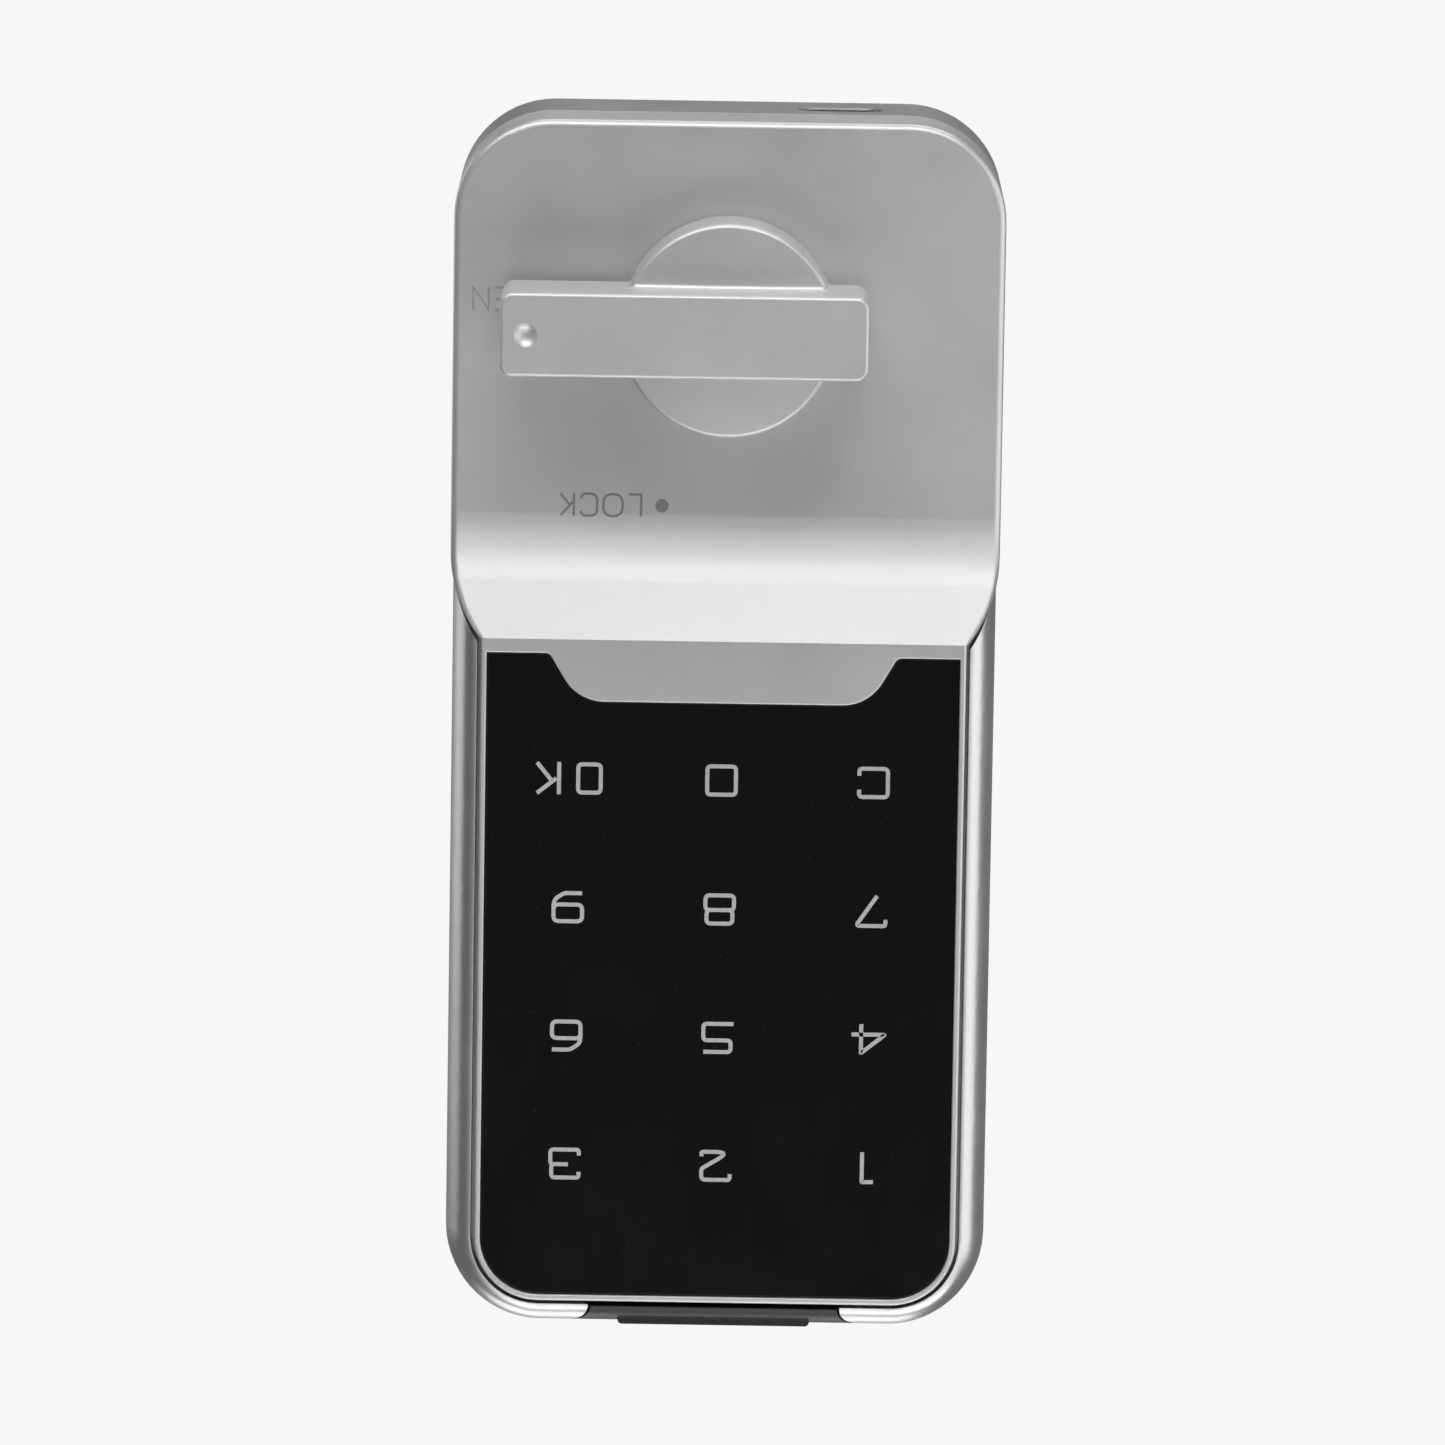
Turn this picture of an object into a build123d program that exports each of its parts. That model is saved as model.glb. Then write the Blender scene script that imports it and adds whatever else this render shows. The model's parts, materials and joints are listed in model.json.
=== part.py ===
from build123d import *

import os
from math import cos, radians, sin, tan

# Keypad smart lock for a thin sheet door. Millimetres, +Z up, the front faces -Y.
# The origin is where the knob's axis meets the outer face of the door (y = 0).
# Heights are counted from the door towards the front, so height h lies at y = -h.

# Housing
WIDTH = 62.0
BOTTOM_Z = -22.5
TOP_Z = 117.5
CORNER_R = 11.0
WALL = 2.2
SHOULDER_IN = 3.0
SHOULDER_DROP = 8.0
KEYPAD_H = 17.0
LEDGE_LOW_H = 12.0
LEDGE_TOP_H = 13.6
LEDGE_INSET = 10.0
GROOVE = 0.4
GASKET_DEPTH = 0.8
GASKET_OUT = 0.6
GASKET_IN = 1.6
BOSS_ROOT = 0.5
CLEARANCE = 0.15
EDGE_BREAK = 0.3
# How far a cut runs on beyond the face it leaves by.
PAST = 1.0

# Hood and bezel
HOOD_H = 24.0
HOOD_WALL = 2.0
HOOD_EDGE_R = 0.8
PARTING_CHAMFER = 0.2
BEND_R = 15.5
BEND_Z = 22.0
SLOPE_DEG = 31.0
HOOD_END_Z = 37.9
SIDE_ARC_R = 19.4
SIDE_ARC_DEG = 35.0
BOSS_TOP_H = 18.1
BUSH_PAD_T = 2.0
WASHER_SEAT_T = 0.6
RIM_HALF = 27.6
RIM_TOP_Z = 114.1
RIM_CORNER_R = 7.4
RIM_H = 17.35
RIM_OUTER_R = 0.3
RIM_INNER_R = 0.15

# Glass and what lies behind it
GLASS_HALF = 26.9
GLASS_LOW_Z = 39.0
GLASS_TOP_Z = 113.4
GLASS_CORNER_R = 6.7
GLASS_T = 1.5
TAB_HALF = 19.8
TAB_Z = 44.5
TAB_FLANK_DEG = 59.4
TAB_ARC_R = 5.3
HOOD_CORNER_R = 0.8
GLASS_GAP = 0.04
GLASS_CHAMFER = 0.15
WINDOW_HALF = 24.2
WINDOW_LOW_Z = 47.0
WINDOW_TOP_Z = 110.5
WINDOW_R = 3.0
WINDOW_GAP = 0.2
FILM_T = 0.3
TOUCH_T = 1.0
KEY_X = 17.3
KEY_PITCH_Z = 14.9
KEY_MID_Z = 75.75
LED_H = 0.5
LED_HOLE = (3.4, 1.8)
LED_BASE = (5.0, 2.2)
LED_DOME = (2.6, 1.4)
TOUCH_CHIP_AT = (8.65, 52.0)
TOUCH_CHIP_SIZE = (5.0, 4.0)
TOUCH_CHIP_T = 0.9
PIN = (0.8, 0.35)
PIN_T = 0.3
CHIP_BREAK = 0.15
CHIP_STANDOFF = 0.1

# Knob and its shaft
KNOB_GAP = 0.3
DISC_R = 12.0
DISC_EDGE_R = 0.5
DISC_TOP_H = 34.0
CROWN_R = 95.0
LEVER_LOW_H = 26.9
LEVER_TOP_H = 39.5
LEVER_W = 9.35
LEVER_POINTER_X = 25.4
LEVER_TAIL_X = -15.6
LEVER_CORNER_R = 1.4
LEVER_EDGE_R = 0.4
LEVER_ROOT_R = 0.7
DIMPLE_R = 1.3
DIMPLE_DEPTH = 0.6
DIMPLE_INSET = 2.9
SPINDLE_R = 5.0
SPINDLE_TOP_H = 33.0
FLATS_HALF = 4.0
SPINDLE_REAR_R = 4.0
SQUARE_HALF = 2.8
RUNNING = 0.05
SLIDING = 0.1
BODY_GAP = 0.3
BUSH_R = 7.0
BUSH_PAD_R = 9.2
BUSH_LOW_H = 19.2
BUSH_T = 4.2
KNOB_WASHER_R = 9.5
CAM_SCREW_BORE = (2.0, 9.0)
CAM_SCREW_R = 1.95
CAM_SCREW_TIP_H = -12.3
CAM_HEAD_R = 3.6
CAM_HEAD_T = 2.6
CAM_WASHER_R = 6.0
CAM_WASHER_BORE_R = 2.15
CAM_WASHER_H = -19.35
CAM_WASHER_T = 1.0
ROTOR_R = 10.5
ROTOR_LOW_H = 8.0
ROTOR_T = 4.0
NOTCH_W = 5.6
NOTCH_DEPTH = 2.6
STOP_RING_R = 7.5
STOP_PIN_R = 1.0
STOP_PIN_TOP_H = 11.5
STOP_DEG = 225.0
MAGNET_DEG = -45.0
MAGNET_R = 1.5
CLIP_LOW_H = 7.0
CLIP_T = 0.8
CLIP_R = 6.1
CLIP_GROOVE = 1.1
CLIP_NECK_H = 6.6
CLIP_MOUTH = 3.6
CLIP_EAR_R = 1.2
MAGNET_T = 1.6

# Barrel through the door, nut and cam
DOOR_T = 1.5
REGISTER_R = 8.5
THREAD_R = 8.0
BARREL_END_H = -16.0
BARREL_CHAMFER = 0.6
REGISTER_LOW_H = 0.3
FLANGE_R = 11.0
FLANGE_TOP_H = 3.5
NUT_FLATS = 24.0
NUT_T = 5.0
WASHER_T = 0.8
CAM_T = 3.0
CAM_W = 16.0
CAM_LENGTH = 42.0
CAM_SEAT_H = -16.25
CAM_HUB_R = 9.0
CAM_CORNER_R = 3.0
SPINDLE_STEP_H = -16.2
SPINDLE_END_H = -19.3
TOOTH_R = 12.0
TOOTH_CUT = (1.6, 0.9)
NUT_BEVEL = 0.9

# Mechanism
AXIS_H = 10.0
BLOCKER_W = 5.0
BLOCKER_T = 4.4
BLOCKER_TIP_Z = 10.9
BLOCKER_LENGTH = 10.0
BLOCKER_END_T = 2.0
SCREW_TIP_Z = 13.3
SCREW_R = 1.2
SCREW_BORE_R = 1.5
MOTOR_R = 3.0
MOTOR_LOW_Z = 24.5
MOTOR_LENGTH = 13.5
BRACKET_LOW_Z = 13.2
BRACKET_TOP_Z = 39.0
BRACKET_HALF = 6.5
BRACKET_TOP_H = 13.4
EAR_HALF = 11.5
EAR_X = 9.0
EAR_Z = 27.0
EAR_TOP_H = 3.5
EAR_LENGTH = 9.0
EAR_CORNER_R = 2.0
CLIP_SLOT = (4.6, 14.0)
CLIP_SLOT_Z = 33.0
CLIP_SLOT_H = 11.8
MOTOR_NOSE = 1.5

# Rear plate and boards
PLATE_LOW_H = 0.1
PLATE_TOP_H = 1.5
PLATE_INSET = 2.4
POCKET_W = 11.0
POCKET_L = 13.0
POCKET_GAP = 1.6
POCKET_DEPTH = 0.5
POCKET_MID_Z = 86.0
POCKET_CORNER_R = 1.5
BOARD_LOW_H = 4.2
BOARD_TOP_H = 5.2
BOARD_HALF = 26.0
BOARD_LOW_Z = 15.0
BOARD_TOP_Z = 56.5
BOARD_CORNER_R = 1.5
SLOT_HALF = 12.2
SLOT_TOP_Z = 41.0
POST_R = 2.2
POST_X = 23.0
POST_Z = (20.0, 53.0)
REAR_SCREWS = ((-24.0, -14.0), (24.0, -14.0), (-24.0, 108.0), (24.0, 108.0))
FACE_SCREWS = ((-26.4, 2.0), (26.4, 2.0), (-26.4, 30.0), (26.4, 30.0))
MOUNT_X = 24.0
MOUNT_Z = 62.0
MOUNT_BOSS_R = 3.6
MOUNT_HOLE_R = 1.65
MOUNT_CLEAR_R = 2.2
SMALL_BOSS_R = 2.8
SMALL_SCREW_R = 1.25
TINY_SCREW_R = 1.0
HEAD_R = 2.2
FACE_SCREW_TIP_H = 16.6
FACE_BORE_H = 17.2
HEAD_T = 1.5
REAR_HEAD_T = 0.65
BOARD_HEAD_R = 1.9
BOARD_HEAD_T = 1.2
COUNTERBORE_R = 2.4
COUNTERBORE_T = 0.7
REAR_SCREW_DEPTH = 7.0
MOUNT_DEPTH = 9.0
BUZZER_AT = (-17.5, 45.0)
BUZZER_R = 5.5
BUZZER_T = 5.0
SOUND_HOLE_H = 8.2
SOUND_HOLE_R = 1.0
CONNECTOR_AT = (0.0, 44.0)
CONNECTOR = (6.0, 4.0)
CONNECTOR_T = 3.6
CONNECTOR_CAVITY_AT = (0.0, 43.6)
CONNECTOR_CAVITY = (4.8, 3.2)
CONTROLLER = (17.0, 40.0, 6.4, 6.4, 1.0, 8)
MOTOR_DRIVER = (17.0, 30.5, 4.4, 5.0, 1.2, 4)
HALL_SENSOR = (15.5, 17.5, 2.0, 3.0, 1.0, 2)
FLEX_X = -12.6
FLEX_W = 8.0
FLEX_T = 0.2
FLEX_FRONT_Z = (50.0, 53.6)
FLEX_BACK_Z = 51.0

# Emergency power socket
USB_X = -12.2
USB_H = 8.0
USB_W = 8.94
USB_T = 3.2
USB_WALL = 0.3
USB_LOW_Z = -22.45
USB_DEPTH = 7.55
USB_HOLE_W = 9.8
USB_HOLE_T = 4.0
TONGUE = (6.7, 0.7)
TONGUE_LENGTH = 5.75
USB_BACK_T = 0.5
USB_BOARD = (14.0, 11.0)
USB_BOARD_Z = -14.0
USB_POST_X = 5.0
USB_POST_R = 1.6
USB_LEG_X = 4.2
USB_LEG_Z = -17.0
USB_LEG = (0.8, 3.0)

# Battery drawer
CELL_R = 5.25
CELL_LENGTH = 44.5
CELL_Z = 65.6
CELL_H = 7.9
NUB_R = 1.9
NUB_T = 0.8
COVER_POINTS = ((14.4, 17.0), (16.7, 12.5), (18.1, 2.0))
COVER_LOW_Z = 114.7
COVER_LOW_H = 2.0
MOUTH_LOW_H = 1.7
BAY_FLOOR_H = 1.0
RIDGE_W = 22.0
RIDGE_T = 1.1
RIDGE_Z = 116.55
RIDGE_TOP_H = 15.3
TRAY_LOW_Z = 64.3
TRAY_WALL = 0.7
TRAY_FLOOR = 0.6
TRAY_TOP_H = 12.6
SPRING_R = 2.6
BAY_LOW_Z = 61.0
BAY_TOP_Z = 105.0
BAY_END_WALL = 1.4
BAY_SIDE = 1.2
BAY_LOW_H = 1.55
BAY_TOP_H = 13.25
MOUTH_DEPTH = 13.0
CONTACT_T = 0.4
CONTACT_PAD = 8.0
BAY_PAD = 6.0
BAY_STUD_R = 1.6
SPRING_WALL = 0.8
TRAY_INNER_T = 1.0
CELL_CHAMFER = 0.4
TRAY_END_WALL = 1.2
TRAY_WINDOW = 7.0

MID_Z = (BOTTOM_Z + TOP_Z) / 2
HEIGHT = TOP_Z - BOTTOM_Z
GLASS_LOW_H = KEYPAD_H - GLASS_T
FILM_LOW_H = GLASS_LOW_H - FILM_T
TOUCH_LOW_H = FILM_LOW_H - TOUCH_T
SEAT_H = GLASS_LOW_H - 0.05
BEHIND_PLATE = LEDGE_LOW_H - PLATE_TOP_H
MOUNT_POINTS = ((-MOUNT_X, MOUNT_Z), (MOUNT_X, MOUNT_Z))
EAR_POINTS = ((-EAR_X, EAR_Z), (EAR_X, EAR_Z))
POSTS = [(x, z) for x in (-POST_X, POST_X) for z in POST_Z]
WINDOW_MID_Z = (WINDOW_LOW_Z + WINDOW_TOP_Z) / 2
WINDOW_HEIGHT = WINDOW_TOP_Z - WINDOW_LOW_Z
CELL_PITCH = 2 * CELL_R
CELL_TOP_Z = CELL_Z + CELL_LENGTH


def front(h):
    """The plane at height h in front of the door, facing the front."""
    return Plane.XZ.offset(h)


def write(piece, name):
    """Labels a finished piece and writes it as a node."""
    piece.part.label = name
    export_step(piece.part, f"parts/{name}.step")


def case_outline(inset=0.0):
    """The housing's rounded outline, moved inwards."""
    with BuildSketch(mode=Mode.PRIVATE) as outline:
        with Locations((0, MID_Z)):
            RectangleRounded(WIDTH - 2 * inset, HEIGHT - 2 * inset, max(CORNER_R - inset, 1.0))
    return outline.sketch


def hood_outline(inset=0.0):
    """The hood's plan: the case's lower corners, straight sides and arcs that close in on the bezel."""
    half = WIDTH / 2 - inset
    low = BOTTOM_Z + inset
    corner = CORNER_R - inset
    arc_r = SIDE_ARC_R - inset
    start_z = HOOD_END_Z - SIDE_ARC_R * sin(radians(SIDE_ARC_DEG))
    with BuildSketch(mode=Mode.PRIVATE) as outline:
        with BuildLine():
            floor = Line((0, low), (half - corner, low))
            turn = JernArc(floor @ 1, (1, 0), corner, 90)
            side = Line(turn @ 1, (half, start_z))
            closing = JernArc(side @ 1, (0, 1), arc_r, SIDE_ARC_DEG)
            end = Line(closing @ 1, (0, (closing @ 1).Y))
            Line(end @ 1, floor @ 0)
        make_face()
        mirror(about=Plane.YZ)
    return outline.sketch


def rim_outline(grow=0.0):
    """The bezel's outline round the glass, running down under the hood."""
    low = BEND_Z
    top = RIM_TOP_Z + grow
    half = RIM_HALF + grow
    with BuildSketch(mode=Mode.PRIVATE) as outline:
        with Locations((0, (low + top) / 2)):
            Rectangle(2 * half, top - low)
        fillet(outline.vertices().group_by(Axis.Y)[-1], RIM_CORNER_R + grow)
    return outline.sketch


def glass_outline(inset=0.0):
    """The glass: round corners at the keypad end, square ones and the tab's cut-out at the hood."""
    low = GLASS_LOW_Z + inset
    top = GLASS_TOP_Z - inset
    half = GLASS_HALF - inset
    run = (TAB_Z - GLASS_LOW_Z) / tan(radians(TAB_FLANK_DEG))
    with BuildSketch(mode=Mode.PRIVATE) as outline:
        with Locations((0, (low + top) / 2)):
            Rectangle(2 * half, top - low)
        fillet(outline.vertices().group_by(Axis.Y)[-1], GLASS_CORNER_R - inset)
        with BuildLine():
            Polyline(
                (-TAB_HALF - inset, GLASS_LOW_Z),
                (-TAB_HALF + run - inset, TAB_Z + inset),
                (TAB_HALF - run + inset, TAB_Z + inset),
                (TAB_HALF + inset, GLASS_LOW_Z),
                close=True,
            )
        make_face(mode=Mode.SUBTRACT)
        inner = outline.vertices().filter_by(lambda v: abs(v.Y - TAB_Z - inset) < 0.01)
        fillet(inner, TAB_ARC_R)
        outer = outline.vertices().filter_by(
            lambda v: abs(v.Y - low) < 0.01 and abs(v.X) < half - 1
        )
        fillet(outer, HOOD_CORNER_R)
    return outline.sketch


def window_blank():
    """The outline of what lies in the window behind the glass."""
    with BuildSketch(mode=Mode.PRIVATE) as blank:
        with Locations((0, WINDOW_MID_Z)):
            width = 2 * (WINDOW_HALF - WINDOW_GAP)
            RectangleRounded(width, WINDOW_HEIGHT - 2 * WINDOW_GAP, WINDOW_R - WINDOW_GAP)
    return blank.sketch


def cover_profile(low, inset=0.0):
    """Section of the battery drawer's mouth across Z, as (x, height) points drawn on the XY plane."""
    right = [(x - inset, h) for x, h in COVER_POINTS]
    foot = (right[-1][0], low)
    crest = (right[0][0], KEYPAD_H + PAST)
    points = [crest, *right[:-1], foot]
    left = [(-x, h) for x, h in reversed(points)]
    return points + left


def drawer_plane(z):
    """Plane across Z whose local x is X and local y the height in front of the door."""
    return Plane(origin=(0, 0, z), x_dir=(1, 0, 0), z_dir=(0, 0, -1))


def slope_cut(inset, sheet):
    """Cuts the space in front of the hood's bend and incline, seen from the side."""
    top_h = HOOD_H - inset
    beyond_y = -HOOD_H - PAST
    with BuildSketch(Plane.YZ, mode=Mode.PRIVATE) as side:
        with BuildLine():
            bend = JernArc((-top_h, BEND_Z), (0, 1), BEND_R - inset, -SLOPE_DEG)
            reach = top_h / sin(radians(SLOPE_DEG))
            incline = Line(bend @ 1, bend @ 1 + reach * (bend % 1))
            Polyline(incline @ 1, (beyond_y, (incline @ 1).Y), (beyond_y, BEND_Z), bend @ 0)
        make_face()
    extrude(side.sketch, amount=WIDTH, both=True, mode=sheet)


def on_ring(angle_deg):
    """A point (x, z) on the rotor's stop ring."""
    return STOP_RING_R * cos(radians(angle_deg)), STOP_RING_R * sin(radians(angle_deg))


def keys():
    """Centres of the twelve touch keys, as (x, z)."""
    rows = [KEY_MID_Z + KEY_PITCH_Z * (i - 1.5) for i in range(4)]
    return [(x, z) for z in rows for x in (-KEY_X, 0, KEY_X)]


def screw(points, seat_h, tip_h, shank_r, head_r, head_t, into_front):
    """A group of screws with socket heads. Shanks run from the seat to the tip, heads on the far side."""
    sign = 1 if into_front else -1
    with BuildPart() as group:
        with BuildSketch(front(seat_h)):
            with Locations(*points):
                Circle(shank_r)
        extrude(amount=tip_h - seat_h)
        with BuildSketch(front(seat_h)):
            with Locations(*points):
                Circle(head_r)
        extrude(amount=-sign * head_t)
        with BuildSketch(front(seat_h - sign * head_t)):
            with Locations(*points):
                RegularPolygon(0.5 * head_r, 6)
        extrude(amount=sign * 0.6 * head_t, mode=Mode.SUBTRACT)
    return group


os.makedirs("parts", exist_ok=True)

# ---------------------------------------------------------------- front housing
# Outer shape of the case: an elliptical shoulder all round, but upright walls under the hood.
with BuildPart() as case_blank:
    with BuildSketch(front(0)):
        add(case_outline())
    extrude(amount=KEYPAD_H)
    with BuildLine(Plane.XZ):
        half = WIDTH / 2
        straight = TOP_Z - CORNER_R
        right = Line((half, 0), (half, straight))
        top_right = JernArc(right @ 1, (0, 1), CORNER_R, 90)
        top = Line(top_right @ 1, (-half + CORNER_R, TOP_Z))
        top_left = JernArc(top @ 1, (-1, 0), CORNER_R, 90)
        left_side = Line(top_left @ 1, (-half, BOTTOM_Z + CORNER_R))
        low_left = JernArc(left_side @ 1, (0, -1), CORNER_R, 90)
        low = Line(low_left @ 1, (half - CORNER_R, BOTTOM_Z))
        low_right = JernArc(low @ 1, (1, 0), CORNER_R, 90)
        Line(low_right @ 1, (half, 0))
    with BuildSketch(Plane.XY):
        with BuildLine():
            low_y = -(KEYPAD_H - SHOULDER_DROP)
            inner_x = half - SHOULDER_IN
            EllipticalCenterArc((inner_x, low_y), SHOULDER_IN, SHOULDER_DROP, 270, arc_size=90)
            Polyline((half, low_y), (half + PAST, low_y), (half + PAST, -KEYPAD_H - PAST),
                     (inner_x, -KEYPAD_H - PAST), (inner_x, -KEYPAD_H))
        make_face()
    sweep(mode=Mode.SUBTRACT)
    with BuildSketch(front(0)):
        add(hood_outline())
    extrude(amount=LEDGE_TOP_H)

with BuildPart() as front_housing:
    add(case_blank.part)
    with BuildSketch(front(LEDGE_TOP_H)):
        add(rim_outline(GROOVE))
        offset(hood_outline(), amount=GROOVE, mode=Mode.ADD)
    extrude(amount=KEYPAD_H, mode=Mode.SUBTRACT)
    with BuildSketch(front(0)):
        add(case_outline(WALL))
    extrude(amount=LEDGE_LOW_H, mode=Mode.SUBTRACT)
    with BuildSketch(front(LEDGE_LOW_H)):
        add(case_outline(LEDGE_INSET))
    extrude(amount=KEYPAD_H, mode=Mode.SUBTRACT)
    # Bosses under the ledge for the rear plate's screws and the two door screws.
    with BuildSketch(front(PLATE_TOP_H)):
        with Locations(*REAR_SCREWS):
            Circle(SMALL_BOSS_R)
        with Locations(*MOUNT_POINTS):
            Circle(MOUNT_BOSS_R)
    extrude(amount=BEHIND_PLATE + BOSS_ROOT)
    with BuildSketch(front(PLATE_TOP_H)):
        with Locations(*REAR_SCREWS):
            Circle(SMALL_SCREW_R)
    extrude(amount=REAR_SCREW_DEPTH, mode=Mode.SUBTRACT)
    with BuildSketch(front(PLATE_TOP_H)):
        with Locations(*MOUNT_POINTS):
            Circle(MOUNT_HOLE_R)
    extrude(amount=MOUNT_DEPTH, mode=Mode.SUBTRACT)
    with BuildSketch(front(LEDGE_LOW_H)):
        with Locations(*FACE_SCREWS):
            Circle(SMALL_SCREW_R + CLEARANCE)
    extrude(amount=LEDGE_TOP_H - LEDGE_LOW_H, mode=Mode.SUBTRACT)
    # Mouth of the battery drawer in the keypad end.
    with BuildSketch(drawer_plane(TOP_Z + PAST)):
        with BuildLine():
            Polyline(*cover_profile(low=MOUTH_LOW_H), close=True)
        make_face()
    extrude(amount=MOUTH_DEPTH, mode=Mode.SUBTRACT)
    # Hole for the emergency power socket in the lower end.
    with BuildSketch(drawer_plane(BOTTOM_Z + WALL + PAST)):
        with Locations((USB_X, USB_H)):
            RectangleRounded(USB_HOLE_W, USB_HOLE_T, USB_HOLE_T / 2 - 0.01)
    extrude(amount=WALL + 2 * PAST, mode=Mode.SUBTRACT)
    # Groove for the door gasket.
    with BuildSketch(front(0)):
        add(case_outline(GASKET_OUT))
        add(case_outline(GASKET_IN), mode=Mode.SUBTRACT)
    extrude(amount=GASKET_DEPTH, mode=Mode.SUBTRACT)
write(front_housing, "front_housing")

with BuildPart() as door_gasket:
    with BuildSketch(front(0)):
        add(case_outline(GASKET_OUT))
        add(case_outline(GASKET_IN), mode=Mode.SUBTRACT)
    extrude(amount=GASKET_DEPTH)
write(door_gasket, "door_gasket")

# ------------------------------------------------------------------- face plate
with BuildPart() as hood_cavity:
    with BuildSketch(front(LEDGE_TOP_H - PAST)):
        add(hood_outline(HOOD_WALL))
    extrude(amount=HOOD_H - HOOD_WALL - LEDGE_TOP_H + PAST)
    slope_cut(HOOD_WALL, Mode.SUBTRACT)

with BuildPart() as face_plate:
    with BuildSketch(front(LEDGE_TOP_H)):
        add(hood_outline())
    extrude(amount=HOOD_H - LEDGE_TOP_H)
    slope_cut(0, Mode.SUBTRACT)
    crown = face_plate.edges().filter_by(
        lambda e: e.center().Y < -KEYPAD_H - 0.3
        and e.bounding_box().max.Y < -KEYPAD_H + 0.2
        and not (abs(e.center().X) < 0.01 and e.center().Z > 0)
    )
    fillet(crown, HOOD_EDGE_R)
    parting = face_plate.edges().filter_by(
        lambda e: abs(e.center().Y + LEDGE_TOP_H) < 0.01 and e.bounding_box().max.Z < BEND_Z + 6
    )
    chamfer(parting, PARTING_CHAMFER)
    with BuildSketch(front(LEDGE_TOP_H)):
        add(rim_outline())
    extrude(amount=RIM_H - LEDGE_TOP_H)
    rim_edges = face_plate.edges().filter_by(
        lambda e: abs(e.center().Y + RIM_H) < 0.01 and e.center().Z > HOOD_END_Z + 1
    )
    fillet(rim_edges, RIM_OUTER_R)
    with BuildSketch(front(SEAT_H)):
        add(glass_outline())
    extrude(amount=RIM_H - SEAT_H + PAST, mode=Mode.SUBTRACT)
    pocket_edges = face_plate.edges().filter_by(
        lambda e: abs(e.center().Y + RIM_H) < 0.01
        and e.center().Z > HOOD_END_Z + 1
        and e.bounding_box().max.X < GLASS_HALF + 0.05
        and e.bounding_box().min.X > -GLASS_HALF - 0.05
        and e.bounding_box().max.Z < GLASS_TOP_Z + 0.05
    )
    fillet(pocket_edges, RIM_INNER_R)
    with BuildSketch(front(LEDGE_TOP_H)):
        with Locations((0, WINDOW_MID_Z)):
            RectangleRounded(2 * WINDOW_HALF, WINDOW_HEIGHT, WINDOW_R)
    extrude(amount=RIM_H - LEDGE_TOP_H, mode=Mode.SUBTRACT)
    add(hood_cavity.part, mode=Mode.SUBTRACT)
    # Screw bosses and the seat of the front bush.
    with BuildSketch(front(LEDGE_TOP_H)):
        with Locations(*FACE_SCREWS):
            Circle(SMALL_BOSS_R)
    extrude(amount=BOSS_TOP_H - LEDGE_TOP_H)
    with BuildSketch(front(HOOD_H - HOOD_WALL - BUSH_PAD_T)):
        Circle(BUSH_PAD_R)
    extrude(amount=BUSH_PAD_T + BOSS_ROOT)
    with BuildSketch(front(LEDGE_TOP_H)):
        with Locations(*FACE_SCREWS):
            Circle(SMALL_SCREW_R)
    extrude(amount=FACE_BORE_H - LEDGE_TOP_H, mode=Mode.SUBTRACT)
    with BuildSketch(front(LEDGE_TOP_H)):
        Circle(BUSH_R)
    extrude(amount=HOOD_H + PAST - LEDGE_TOP_H, mode=Mode.SUBTRACT)
    with BuildSketch(front(HOOD_H - WASHER_SEAT_T)):
        Circle(KNOB_WASHER_R)
    extrude(amount=WASHER_SEAT_T + PAST, mode=Mode.SUBTRACT)
write(face_plate, "face_plate")

with BuildPart() as spindle_bush:
    with BuildSketch(front(BUSH_LOW_H)):
        Circle(BUSH_R)
        Circle(SPINDLE_R + RUNNING, mode=Mode.SUBTRACT)
    extrude(amount=BUSH_T)
write(spindle_bush, "spindle_bush")

with BuildPart() as knob_washer:
    with BuildSketch(front(HOOD_H - WASHER_SEAT_T)):
        Circle(KNOB_WASHER_R)
        Circle(SPINDLE_R + BODY_GAP, mode=Mode.SUBTRACT)
    extrude(amount=WASHER_SEAT_T)
write(knob_washer, "knob_washer")

# ---------------------------------------------------- glass, film, touch board
with BuildPart() as glass_panel:
    with BuildSketch(front(GLASS_LOW_H)):
        add(glass_outline(GLASS_GAP))
    extrude(amount=GLASS_T)
    chamfer(glass_panel.faces().sort_by(Axis.Y)[0].edges(), GLASS_CHAMFER)
write(glass_panel, "glass_panel")

with BuildPart() as legend_film:
    with BuildSketch(front(FILM_LOW_H)):
        add(window_blank())
    extrude(amount=FILM_T)
write(legend_film, "legend_film")

with BuildPart() as touch_board:
    with BuildSketch(front(TOUCH_LOW_H)):
        add(window_blank())
        with Locations(*keys()):
            Rectangle(*LED_HOLE, mode=Mode.SUBTRACT)
    extrude(amount=TOUCH_T)
write(touch_board, "touch_board")

with BuildPart() as keypad_leds:
    with BuildSketch(front(TOUCH_LOW_H - LED_H)):
        with Locations(*keys()):
            Rectangle(*LED_BASE)
    extrude(amount=LED_H)
    with BuildSketch(front(TOUCH_LOW_H)):
        with Locations(*keys()):
            Rectangle(*LED_DOME)
    extrude(amount=LED_H)
write(keypad_leds, "keypad_leds")

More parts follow.
